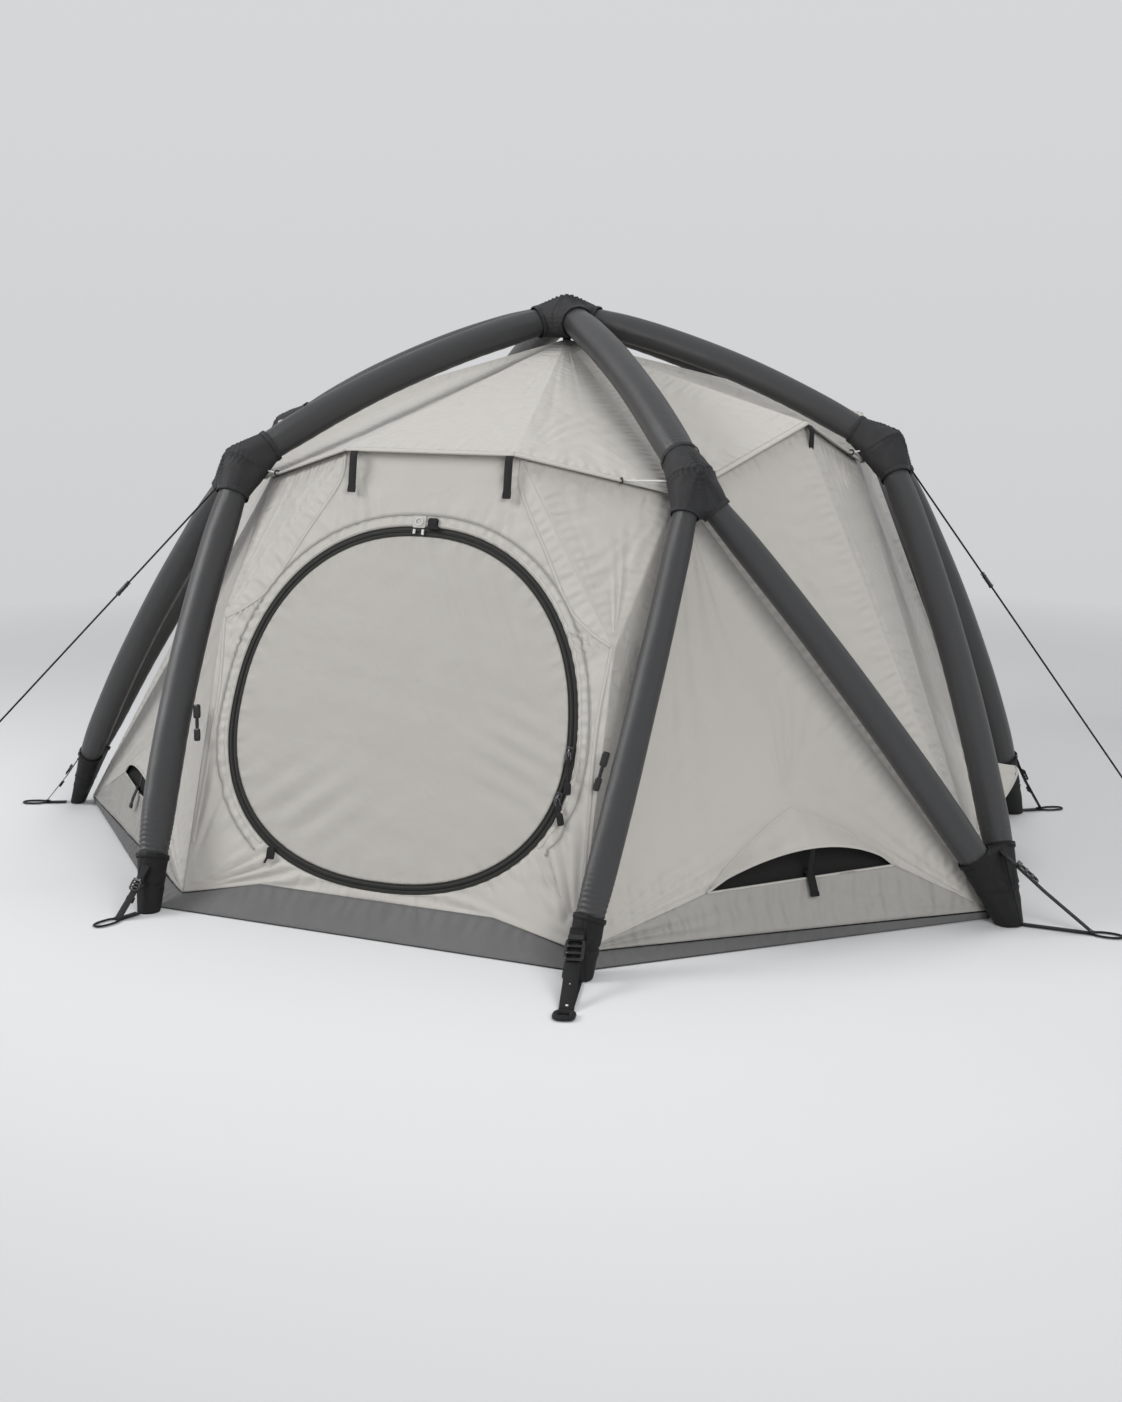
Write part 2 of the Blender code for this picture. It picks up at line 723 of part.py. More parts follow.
def door_outline(grow):
    """The door's outline, grown or shrunk by a margin."""
    return [door_point(2 * pi * step / DOOR_POINTS, grow) for step in range(DOOR_POINTS)]


def build_panels(roof_trim):
    """The door panel with its round opening, the plain rear panel, and the slabs that trim."""
    trims = []
    hole = ZIP_WIDTH / 2 + ZIP_GAP
    for name, y_sign, holes in (("door_panel", -1, [door_outline(hole)]), ("rear_panel", 1, [])):
        frame = panel_frame(y_sign)
        panel = plate(name, [panel_outline()] + holes, CLOTH, frame)
        cut(panel, roof_trim)
        finish(panel, CANVAS, 0.7)
        shift = Matrix.Translation((0.0, 0.0, (TRIM_DEPTH - TRIM_BACK) / 2))
        slab = plate("trim_" + name, [panel_outline(SEAM_GAP)], TRIM_DEPTH + TRIM_BACK, frame @ shift)
        trims.append(as_cutter(slab))
    return trims


def vent_facets(top, near, far):
    """Triangles of a leg triangle with a slit low down and the cloth above it arched out."""
    base = far - near
    along = base.normalized()
    normal = base.cross(top - near).normalized()
    if normal.dot((top + near + far) / 3 - CORE) < 0:
        normal = -normal
    up = normal.cross(along)
    if up.z < 0:
        up = -up
    sill_near = near + base * HOOD_NEAR_SHARE + up * HOOD_NEAR_HEIGHT
    sill_far = near + base * HOOD_FAR_SHARE + up * HOOD_FAR_HEIGHT
    peak = near + base * HOOD_PEAK_SHARE + up * HOOD_PEAK_HEIGHT
    lip = []
    for step in range(HOOD_SEGMENTS + 1):
        share = step / HOOD_SEGMENTS
        arch = 4 * share * (1 - share)
        rise = HOOD_END + HOOD_ARCH * arch
        lip.append(sill_near.lerp(sill_far, share) + up * rise + normal * HOOD_OUT * arch)
    facets = [
        (near, far, sill_far), (near, sill_far, sill_near),
        (near, sill_near, lip[0]), (near, lip[0], peak), (near, peak, top),
        (far, lip[-1], sill_far), (far, peak, lip[-1]), (far, top, peak),
    ]
    return facets + [(peak, lip[step], lip[step + 1]) for step in range(HOOD_SEGMENTS)]


def wall_corners():
    """The foot corners of the walls at the top of the groundsheet's skirt, by foot."""
    corners = {}
    for name, point in FEET.items():
        corners[name] = foot_corner(point, WALL_FOOT_INSET, RIM_HEIGHT)
    for end, y_sign in (("door", -1), ("rear", 1)):
        frame = panel_frame(y_sign)
        for side, x_sign in (("left", 1), ("right", -1)):
            corner = Vector((x_sign * y_sign * PANEL_CORNER_X, panel_rise(RIM_HEIGHT), 0.0))
            corners[end + "_" + side] = frame @ corner
    return corners


def right_wall_facets():
    """Triangles of the right side wall, from the door panel's edge round to the rear panel's."""
    eaves = eave_corners()
    tuck = {}
    for name in ("front_right", "right", "rear_right"):
        tuck[name] = toward_core(HUBS[name], HUB_INSET)
    for name in ("right_front", "right_rear"):
        tuck[name] = eaves[name]
    for name, point in tuck.items():
        level = Vector((point.x, point.y, 0.0)).normalized()
        tuck[name] = point - level * EAVE_TUCK + Vector((0.0, 0.0, EAVE_RISE))
    corner = wall_corners()
    facets = []
    for hub, near, far in (
        ("front_right", "door_right", "side_front_right"),
        ("right", "side_front_right", "side_rear_right"),
        ("rear_right", "side_rear_right", "rear_right"),
    ):
        facets += vent_facets(tuck[hub], corner[near], corner[far])
    front = corner["side_front_right"]
    rear = corner["side_rear_right"]
    facets += [
        (tuck["front_right"], tuck["right_front"], front), (tuck["right_front"], tuck["right"], front),
        (tuck["right"], tuck["right_rear"], rear), (tuck["right_rear"], tuck["rear_right"], rear),
    ]
    for hub, end, y_sign in (("front_right", "door_right", -1), ("rear_right", "rear_right", 1)):
        frame = panel_frame(y_sign)
        rim = [frame @ Vector((-y_sign * x, y, 0.0)) for x, y in panel_corners()[2:]]
        facets += [(tuck[hub], rim[0], corner[end]), (tuck[hub], rim[1], rim[0])]
    return facets


def build_walls(skins, roof_trim, panel_trims):
    """Both side walls with their hooded vents, trimmed by roof, panels, covers, boots and floor."""
    bm = bmesh.new()
    bmesh.ops.create_cube(bm, size=1.0)
    size = Vector((4 * FRONT_SIDE_FOOT_X, 4 * DOOR_FOOT_Y, TRIM_DEPTH))
    bmesh.ops.scale(bm, verts=bm.verts, vec=size)
    drop = Vector((0.0, 0.0, RIM_HEIGHT + SEAT_GAP - TRIM_DEPTH / 2))
    bmesh.ops.translate(bm, verts=bm.verts, vec=drop)
    ground = as_cutter(mesh_object("floor_trim", bm))
    right = right_wall_facets()
    left = [tuple(mirrored(point) for point in facet) for facet in right]
    for side, facets in (("left", left), ("right", right)):
        wall = mesh_object("side_wall_" + side, cloth_net(facets, WALL_NET_COUNT))
        solidify(wall, CLOTH, 0.0)
        finish(wall, CANVAS, 0.7)
        cut(wall, roof_trim, mend=True)
        for trim in [ground] + panel_trims:
            cut(wall, trim)
        for name, skin in skins.items():
            if name.endswith(side):
                cut(wall, skin)


def round_boots(corners):
    """The ring of corners with each one cut off by a chord that clears the boot standing on it."""
    ring = []
    count = len(corners)
    for index, corner in enumerate(corners):
        back = (corners[index - 1] - corner).normalized()
        ahead = (corners[(index + 1) % count] - corner).normalized()
        reach = BOOT_CLEARANCE / cos(back.angle(ahead) / 2)
        ring += [corner + back * reach, corner + ahead * reach]
    return ring


def skirt_facets(hem, tops):
    """Triangles of the skirt: a chord at every foot, a strip along every side, two high aprons."""
    facets = []
    count = len(hem)
    for index in range(count):
        other = (index + 1) % count
        side, is_side = divmod(index, 2)
        if is_side and side in (DOOR_SIDE, REAR_SIDE):
            frame = panel_frame(-1 if side == DOOR_SIDE else 1)
            first, second = [frame @ Vector((sign * APRON_HALF_WIDTH, panel_rise(APRON_HEIGHT), 0.0))
                             for sign in (-1, 1)]
            facets += [(hem[index], second, hem[other]), (hem[index], first, second),
                       (hem[other], second, tops[other]), (hem[index], tops[index], first)]
        else:
            facets += [(hem[index], tops[other], hem[other]), (hem[index], tops[index], tops[other])]
    return facets


def build_groundsheet(skins, panel_trims):
    """The level floor, and the skirt sewn to its edge that slopes up to the foot of every wall."""
    corners = wall_corners()
    hem = round_boots([foot_corner(FEET[name], FLOOR_INSET, 0.0) for name in FOOT_ORDER])
    facets = skirt_facets(hem, round_boots([corners[name] for name in FOOT_ORDER]))
    ring = cloth_net(facets, 0)
    bmesh.ops.solidify(ring, geom=list(ring.faces), thickness=FLOOR_THICKNESS)
    for vert in ring.verts:
        vert.co.z = max(vert.co.z, 0.0)
    skirt = mesh_object("groundsheet_skirt", ring)
    trim = mesh_object("floor_rim_trim", cloth_net(facets, 0))
    solidify(trim, 2 * (FLOOR_THICKNESS + SEAT_GAP), 0.0)
    inner = [foot_corner(point, FLOOR_TUCK, 0.0) for point in hem]
    level = Matrix.Translation((0.0, 0.0, FLOOR_THICKNESS / 2))
    floor = plate("groundsheet_floor", [inner], FLOOR_THICKNESS, level)
    cut(floor, as_cutter(trim))
    for slab in panel_trims:
        cut(skirt, slab)
    for item in (skirt, floor):
        for name in FOOT_ORDER:
            cut(item, skins["boot_" + name])
        finish(item, FLOOR_GREY, 0.75)


def build_door():
    """The zip ring and the door flap that hangs on its left edge."""
    frame = panel_frame(-1)
    half = ZIP_WIDTH / 2
    ring = plate("door_zip", [door_outline(half), door_outline(-half)], ZIP_THICKNESS, frame)
    finish(ring, BLACK, 0.5)
    edge = half + ZIP_GAP - DOOR_HALF_WIDTH
    hinge = Vector((edge, DOOR_CENTRE_RISE, ZIP_THICKNESS / 2 + SEAT_GAP))
    flap = plate("door_flap", [door_outline(-half - ZIP_GAP)], FLAP_THICKNESS, frame)
    shift = Matrix.Translation(hinge)
    flap.data.transform(shift.inverted())
    flap.matrix_world = frame @ shift
    finish(flap, CANVAS, 0.7)
    return frame


def circle_centre(first, second, third):
    """Centre of the circle through three points of a plane."""
    chord = second - first
    other = third - first
    twice = 2 * (chord.x * other.y - chord.y * other.x)
    x = (other.y * chord.length_squared - chord.y * other.length_squared) / twice
    y = (chord.x * other.length_squared - other.x * chord.length_squared) / twice
    return first + Vector((x, y, 0.0))


def rectangle(length, width):
    """Corners of a rectangle about its middle, its length along x."""
    x, y = length / 2, width / 2
    return [(-x, -y), (x, -y), (x, y), (-x, y)]


def oval(length, width, count):
    """Points of an ellipse about its middle, its length along x."""
    turns = [2 * pi * step / count for step in range(count)]
    return [(length / 2 * cos(turn), width / 2 * sin(turn)) for turn in turns]


def raised(height):
    """A move along local z."""
    return Matrix.Translation((0.0, 0.0, height))


def build_slider(name, rest_turn, travel_turn):
    """A zip slider with its pull, turning about the middle of its own stretch of the ring."""
    frame = panel_frame(-1)
    rest = door_point(rest_turn)
    half_way = door_point(rest_turn + travel_turn / 2)
    centre = circle_centre(rest, half_way, door_point(rest_turn + travel_turn))
    spoke = (rest - centre).normalized()
    along = Vector((-spoke.y, spoke.x, 0.0))
    turned = Matrix((spoke, along, Vector((0.0, 0.0, 1.0)))).transposed().to_4x4()
    seat = frame @ Matrix.Translation(rest) @ raised(ZIP_THICKNESS / 2 + SEAT_GAP) @ turned
    block = seat @ raised(SLIDER_HEIGHT / 2)
    slider = plate(name, [rectangle(SLIDER_WIDTH, SLIDER_LENGTH)], SLIDER_HEIGHT, block)
    run = PULL_LENGTH + SLIDER_LENGTH / 2
    eye = [(x, y - run / 2 + PULL_WIDTH) for x, y in oval(PULL_WIDTH / 2, PULL_WIDTH, PULL_EYE_POINTS)]
    height = SLIDER_HEIGHT - PULL_THICKNESS
    hang = seat @ Matrix.Translation((0.0, -run / 2, height))
    pull = plate(name + "_pull", [rectangle(PULL_WIDTH, run), eye], PULL_THICKNESS, hang)
    join(slider, as_cutter(pull))
    pivot = frame @ Matrix.Translation(centre)
    slider.data.transform(pivot.inverted() @ block)
    slider.matrix_world = pivot
    finish(slider, BLACK, 0.4)


def band(name, start, end, place):
    """A flat length of webbing between two points of an upright plane, its middle on the line."""
    along = (end - start).normalized()
    half = Vector((-along.y, along.x)) * STRAP_THICKNESS / 2
    return plate(name, [[start - half, end - half, end + half, start + half]], STRAP_WIDTH, place)


def build_strap(foot, lean, turn, junction, reach, top, skin):
    """A peg strap: webbing from high on the boot and from its base to a flat loop on the ground."""
    name = "peg_strap_" + foot
    out = Vector((cos(turn), sin(turn), 0.0))
    rise = Vector((0.0, 0.0, 1.0))
    ground = Matrix.Translation((FEET[foot].x, FEET[foot].y, SEAT_GAP))
    upright = ground @ Matrix((out, rise, out.cross(rise))).transposed().to_4x4()
    level = PEG_LOOP_THICKNESS / 2
    anchor = Vector((lean * top, top))
    meeting = Vector((junction, level))
    along = (meeting - anchor).normalized()
    tail = reach - PEG_LOOP_LENGTH + PEG_LOOP_BAND
    strap = band(name, Vector((0.0, level)), Vector((tail, level)), upright)
    join(strap, as_cutter(band(name + "_upper", anchor, meeting, upright)))
    outer_end = Matrix.Translation((reach - PEG_LOOP_LENGTH / 2, 0.0, level))
    place = ground @ Matrix.Rotation(turn, 4, "Z") @ outer_end
    bore_length = PEG_LOOP_LENGTH - 2 * PEG_LOOP_BAND
    bore_width = PEG_LOOP_WIDTH - 2 * PEG_LOOP_BAND
    rim = oval(PEG_LOOP_LENGTH, PEG_LOOP_WIDTH, PEG_LOOP_POINTS)
    rings = [rim, oval(bore_length, bore_width, PEG_LOOP_POINTS)]
    join(strap, as_cutter(plate(name + "_loop", rings, PEG_LOOP_THICKNESS, place)))
    middle = meeting - along * (junction * BUCKLE_PLACE_SHARE)
    tilt = Matrix.Rotation(atan2(along.y, along.x), 4, "Z") @ Matrix.Rotation(-pi / 2, 4, "X")
    face = upright @ Matrix.Translation((middle.x, middle.y, 0.0)) @ tilt
    buckle = [rectangle(BUCKLE_LENGTH, BUCKLE_WIDTH)]
    if junction > SHORT_JUNCTION:
        slot = rectangle((BUCKLE_LENGTH - BUCKLE_BAR_COUNT * BUCKLE_BAR) / 2, BUCKLE_WIDTH - 2 * BUCKLE_BAR)
        offset = BUCKLE_LENGTH / 4
        buckle += [[(x + sign * offset, y) for x, y in slot] for sign in (-1, 1)]
        lower = face @ Matrix.Translation(((BUCKLE_LENGTH + KEEPER_LENGTH) / 2, 0.0, 0.0))
        keeper = rectangle(KEEPER_LENGTH + BUCKLE_BAR, STRAP_WIDTH + STRAP_THICKNESS)
        join(strap, as_cutter(plate(name + "_keeper", [keeper], KEEPER_THICKNESS, lower)))
    join(strap, as_cutter(plate(name + "_buckle", buckle, BUCKLE_THICKNESS, face)))
    cut(strap, skin)
    finish(strap, BLACK, 0.7)


def build_straps(beams, skins):
    """One peg strap at each foot, leaving the boot below its hem."""
    for foot, (turn, junction, reach) in STRAPS.items():
        out = Vector((cos(turn), sin(turn), 0.0))
        legs = [beams["leg_beam_" + hub + "_to_" + end] for hub, end in LEGS if end == foot]
        upward = sum((-leg.along(1.0) for leg in legs), Vector()).normalized()
        boot = DOUBLE_BOOT_REACH if foot in DOUBLE_FEET else SINGLE_BOOT_REACH
        top = FOOT_AXIS_HEIGHT + boot * STRAP_TOP_SHARE * upward.z
        build_strap(foot, upward.dot(out) / upward.z, turn, junction, reach, top, skins["boot_" + foot])


def build_guy(side, start, end, share, skin):
    """A taut guy line from a hub cover to the ground, and the runner that tightens it."""
    run = end - start
    steps = [start + run * step / (CORD_POINTS - 1) for step in range(CORD_POINTS)]
    cord = tube("guy_line_" + side, steps, CORD_DIAMETER / 2, CORD_RESOLUTION)
    cut(cord, skin)
    finish(cord, BLACK, 0.7)
    direction = run.normalized()
    across = direction.cross(Vector((0.0, 0.0, 1.0))).normalized()
    frame = Matrix((direction, across, direction.cross(across))).transposed().to_4x4()
    frame.translation = start + run * share
    half = ADJUSTER_LENGTH / 2
    outline = [(-half, -ADJUSTER_THICKNESS / 2), (half, -ADJUSTER_WIDTH / 2),
               (half, ADJUSTER_WIDTH / 2), (-half, ADJUSTER_THICKNESS / 2)]
    runner = plate("guy_adjuster_" + side, [outline], ADJUSTER_THICKNESS, frame)
    middle = frame.translation
    ends = [middle - direction * ADJUSTER_LENGTH, middle + direction * ADJUSTER_LENGTH]
    bore = tube("guy_bore_" + side, ends, CORD_DIAMETER / 2 + SEAT_GAP, BEAM_RESOLUTION)
    cut(runner, as_cutter(bore))
    finish(runner, BLACK, 0.5)


def drum(name, radius, low, high, place):
    """An upright round solid between two heights of a matrix."""
    bm = bmesh.new()
    bmesh.ops.create_cone(bm, cap_ends=True, segments=VALVE_SIDES, radius1=radius, radius2=radius,
                          depth=high - low)
    item = mesh_object(name, bm)
    item.data.transform(raised((high + low) / 2))
    item.matrix_world = place
    return item


def build_valve(beams, bores):
    """The inflation valve on a rear leg: a welded base, a neck, and a hinged cap."""
    beam = beams[VALVE_LEG]
    out = beam.outward
    along = beam.along(VALVE_PLACE_SHARE)
    out = (out - along * out.dot(along)).normalized()
    place = Matrix((along, out.cross(along), out)).transposed().to_4x4()
    place.translation = beam.at(VALVE_PLACE_SHARE)
    base_top = BEAM_RADIUS + VALVE_BASE_THICKNESS
    neck_top = base_top + VALVE_NECK_HEIGHT
    valve = drum("inflation_valve", VALVE_RADIUS, BEAM_RADIUS / 2, base_top, place)
    join(valve, as_cutter(drum("valve_neck", VALVE_NECK_RADIUS, BEAM_RADIUS, neck_top, place)))
    cut(valve, bores[VALVE_LEG])
    finish(valve, BLACK, 0.45)
    edge = Matrix.Translation((-CAP_RADIUS, 0.0, neck_top + SEAT_GAP))
    cap = drum("valve_cap", CAP_RADIUS, 0.0, CAP_HEIGHT, place)
    cap.data.transform(Matrix.Translation((CAP_RADIUS, 0.0, 0.0)))
    cap.matrix_world = place @ edge
    finish(cap, BLACK, 0.45)


def main():
    clear_scene()
    bpy.context.scene.collection.children.link(parts)
    bpy.context.scene.collection.children.link(cutters)
    beams = make_beams()
    bores = build_beams(beams)
    skins = build_covers(beams, bores)
    roof_trim = build_roof(skins)
    panel_trims = build_panels(roof_trim)
    build_walls(skins, roof_trim, panel_trims)
    build_groundsheet(skins, panel_trims)
    build_door()
    build_slider("zip_slider_upper", UPPER_SLIDER_TURN, SLIDER_TRAVEL_TURN)
    build_slider("zip_slider_lower", LOWER_SLIDER_TURN, -SLIDER_TRAVEL_TURN)
    build_straps(beams, skins)
    left = HUBS["front_left"] + Vector((0.0, 0.0, LEFT_GUY_START_RISE))
    build_guy("left", left, LEFT_GUY_END, LEFT_ADJUSTER_SHARE, skins["hub_cover_front_left"])
    right = HUBS["right"] + Vector((0.0, 0.0, RIGHT_GUY_START_RISE))
    build_guy("right", right, RIGHT_GUY_END, RIGHT_ADJUSTER_SHARE, skins["hub_cover_right"])
    build_valve(beams, bores)


main()
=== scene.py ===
"""Inflatable frame tent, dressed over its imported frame.

Every piece is a numpy surface in the tent's own frame: metres, origin on the ground under the apex,
the door facing -Y. The frame points, bows and panel corners repeat the part's own values.
"""
from math import cos, pi, radians, sin

import bmesh
import bpy
import numpy as np
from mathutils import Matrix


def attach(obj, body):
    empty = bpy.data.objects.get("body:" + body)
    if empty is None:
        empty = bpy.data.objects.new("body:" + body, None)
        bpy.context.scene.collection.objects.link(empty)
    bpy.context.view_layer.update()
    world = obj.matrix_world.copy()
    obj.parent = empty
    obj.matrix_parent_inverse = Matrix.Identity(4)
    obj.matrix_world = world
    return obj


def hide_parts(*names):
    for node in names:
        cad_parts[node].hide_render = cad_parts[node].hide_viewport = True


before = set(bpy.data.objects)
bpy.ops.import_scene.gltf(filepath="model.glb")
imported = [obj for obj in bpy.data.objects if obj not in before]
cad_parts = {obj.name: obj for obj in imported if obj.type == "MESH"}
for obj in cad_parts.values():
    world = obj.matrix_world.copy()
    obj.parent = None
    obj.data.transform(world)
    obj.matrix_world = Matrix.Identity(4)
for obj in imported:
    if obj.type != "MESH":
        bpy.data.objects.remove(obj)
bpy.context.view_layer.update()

UP = np.array([0.0, 0.0, 1.0])
LEVEL = np.array([1.0, 1.0, 0.0])


def vec(*numbers):
    return np.array(numbers, float)


def unit(array):
    """Vectors scaled to length one."""
    return array / np.maximum(np.linalg.norm(array, axis=-1, keepdims=True), 1e-12)


def mix(first, second, share):
    """Straight mix of two arrays, share 0 giving the first."""
    return first + (second - first) * share


def circle(count):
    """Even turns round a circle."""
    return 2 * pi * np.arange(count) / count


def travelled(points):
    """Length of a line up to each of its points."""
    return np.concatenate([[0.0], np.cumsum(np.linalg.norm(np.diff(points, axis=0), axis=1))])


def at_lengths(wanted, lengths, rows):
    """Rows of three numbers, read off at wanted lengths along a line."""
    return np.stack([np.interp(wanted, lengths, rows[:, axis]) for axis in range(3)], -1)


def crossed(u, v):
    """A map with u across and v along."""
    return np.stack(np.meshgrid(u, v, indexing="xy"), -1)


def closed_map(uv):
    """A map whose first column comes again at its end."""
    return np.concatenate([uv, uv[:, :1]], axis=1)


def signed_power(value, exponent):
    return np.sign(value) * np.abs(value) ** exponent


def placer(origin, *ways):
    """A function of steps in metres along each way from the origin."""
    def at(*steps):
        return origin + sum(way * step for way, step in zip(ways, steps))
    return at


# Frame points
APEX = vec(0.0, 0.0, 1.453)
CORE = vec(0.0, 0.0, 0.45)
HUBS = {
    "front_left": vec(-0.633, -0.707, 1.063),
    "front_right": vec(0.633, -0.707, 1.063),
    "right": vec(0.924, 0.0, 1.107),
    "rear_right": vec(0.633, 0.707, 1.063),
    "rear_left": vec(-0.633, 0.707, 1.063),
    "left": vec(-0.924, 0.0, 1.107),
}
FEET = {
    "door_left": vec(-0.58, -1.277, 0.03),
    "door_right": vec(0.58, -1.277, 0.03),
    "side_front_right": vec(1.40, -0.517, 0.03),
    "side_rear_right": vec(1.226, 0.517, 0.03),
    "rear_right": vec(0.58, 1.277, 0.03),
    "rear_left": vec(-0.58, 1.277, 0.03),
    "side_rear_left": vec(-1.226, 0.517, 0.03),
    "side_front_left": vec(-1.40, -0.517, 0.03),
}
FOOT_ORDER = ("door_left", "door_right", "side_front_right", "side_rear_right",
              "rear_right", "rear_left", "side_rear_left", "side_front_left")
LEGS = (
    ("front_left", "door_left"), ("front_left", "side_front_left"),
    ("front_right", "door_right"), ("front_right", "side_front_right"),
    ("right", "side_front_right"), ("right", "side_rear_right"),
    ("rear_right", "side_rear_right"), ("rear_right", "rear_right"),
    ("rear_left", "rear_left"), ("rear_left", "side_rear_left"),
    ("left", "side_rear_left"), ("left", "side_front_left"),
)
DOUBLE_FEET = ("side_front_right", "side_rear_right", "side_rear_left", "side_front_left")
BEAM_RADIUS = 0.042
ROOF_BOW = 0.045
LEG_BOW = 0.038
PINCH_REACH = 0.15
SLEEVE_START = 0.066
COVER_WALL = 0.0026
COVER_REACH = 0.094
COVER_BALL = 0.060
SINGLE_BOOT_REACH = 0.112
DOUBLE_BOOT_REACH = 0.168
PLAIN_SOLE = 0.037
BOOT_SOLE = {"side_front_left": 0.022, "door_left": 0.030}
HUB_COVER_POWER = 34
COVER_MOUTH = 0.965
BOOT_MOUTH = 0.98
HEM_INSET = 0.006
HEM_LIFT = 0.0004
SEAM_TWIN = 0.005
HUB_TUCK = 0.07
TOP_DROP = 0.068
TAB_WEB = (0.025, 0.0022)
CLOTH = 0.0016
NO_SEAM = 9.0
WELD = 2e-5
SLIVER = 1e-6
EDGE_POWER = 0.35
EAVE_TUCK = 0.022
RIM_HEIGHT = 0.024

# The photograph's camera: focal length and width in pixels, place, drop and turn
PHOTO_FOCAL = 1800.0
PHOTO_WIDTH = 1122.0
SENSOR_WIDTH = 36.0
VIEW_PLACE = (2.075, -4.784, 1.446)
VIEW_DROP = 12.03
VIEW_TURN = radians(23.63)

# Stage: floor, world and lamps (name, place, aim, size, power)
FLOOR_REACH = 9.0
FLOOR_COLOUR = (0.70, 0.705, 0.715)
FLOOR_FAR_COLOUR = (0.61, 0.613, 0.622)
WORLD_COLOUR = (0.97, 0.98, 1.0, 1.0)
WORLD_LIGHT = 0.36
SKY_LOW = (0.55, 0.553, 0.562, 1.0)
SKY_HIGH = (0.672, 0.678, 0.690, 1.0)
LAMPS = (
    ("key", (-4.6, -3.4, 4.2), (0, 0, 0.5), 2.6, 205),
    ("fill", (4.4, -5.2, 3.2), (0, 0, 0.6), 3.4, 225),
    ("top", (0.6, 1.0, 6.0), (0, 0, 0.4), 4.5, 130),
)

# Door panel plane
PANEL_BASE = vec(0.0, -1.18, 0.03)
PANEL_TOP_Y = 0.828
EAVE_HEIGHT = 1.124
EAVE_HALF = 0.232
SIDE_EAVE = 0.835
EAVE_TURN = radians(19)
PANEL_UP = unit(vec(0.0, 1.18 - PANEL_TOP_Y, EAVE_HEIGHT - 0.03))
PANEL_OUT = vec(0.0, -PANEL_UP[2], PANEL_UP[1])
DOOR_HALF_WIDTH = 0.46
DOOR_HALF_HEIGHT = 0.436
DOOR_RISE = 0.512
DOOR_EXPONENT = 2.25
DOOR_TAPER = 0.09
ZIP_WIDTH = 0.024
ZIP_GAP = 0.0006
DOOR_ROUND = 2.86

# Hooded vents, in shares of the triangle's base and metres over it; HOODS names those that differ
HOOD_NEAR = (0.307, 0.106)
HOOD_FAR = (0.769, 0.131)
HOOD_PEAK = (0.53, 0.293)
HOOD_END = 0.008
HOOD_OUT = 0.085
HOODS = {("right", "right"): 0.13, ("left", "front_right"): 0.034}
HOOD_ARCH = 0.06
SILL_BOW = 0.010


class Value:
    """One output socket; arithmetic on it adds Math nodes to the same material."""

    def __init__(self, tree, socket):
        self.tree = tree
        self.socket = socket

    def math(self, operation, *others, first=None):
        node = self.tree.nodes.new("ShaderNodeMath")
        node.operation = operation
        items = ((first,) if first is not None else ()) + (self,) + others
        for slot, item in zip(node.inputs, items):
            feed(self.tree, slot, item)
        return Value(self.tree, node.outputs[0])

    def __add__(self, other):
        return self.math("ADD", other)

    def __mul__(self, other):
        return self.math("MULTIPLY", other)

    def __sub__(self, other):
        return self.math("SUBTRACT", other)

    def __truediv__(self, other):
        return self.math("DIVIDE", other)

    def __rsub__(self, other):
        return self.math("SUBTRACT", first=other)

    def __rtruediv__(self, other):
        return self.math("DIVIDE", first=other)

    def __pow__(self, other):
        return self.math("POWER", other)

    __radd__ = __add__
    __rmul__ = __mul__

    def wave(self, length, shift=0.0):
        """Sine along the value, one period every length."""
        return (self * (2 * pi / length) + shift).math("SINE")

    def below(self, limit, soft):
        """1 below the limit and 0 above it, turning over a soft width."""
        return (((limit - self) / soft) + 0.5).math("MINIMUM", 1.0).math("MAXIMUM", 0.0)


def feed(tree, slot, item):
    """Link a value into a socket, or set the socket's own number."""
    if isinstance(item, Value):
        tree.links.new(item.socket, slot)
    else:
        slot.default_value = item


class Nodes:
    """A node tree, with one method that adds a node to it."""

    def __init__(self, tree):
        self.tree = tree

    def node(self, kind, settings=None, output=0, **sockets):
        """Add a node: its settings first, then its sockets, a number in a name giving the index."""
        made = self.tree.nodes.new("ShaderNode" + kind)
        for key, setting in (settings or {}).items():
            setattr(made, key, setting)
        for key, item in sockets.items():
            slot = made.inputs[int(key[1:])] if key[0] == "_" else made.inputs[key.replace("_", " ")]
            feed(self.tree, slot, item)
        return Value(self.tree, made.outputs[output])

    def parts(self, vector):
        """The three numbers of a vector."""
        made = self.tree.nodes.new("ShaderNodeSeparateXYZ")
        feed(self.tree, made.inputs[0], vector)
        return [Value(self.tree, slot) for slot in made.outputs]


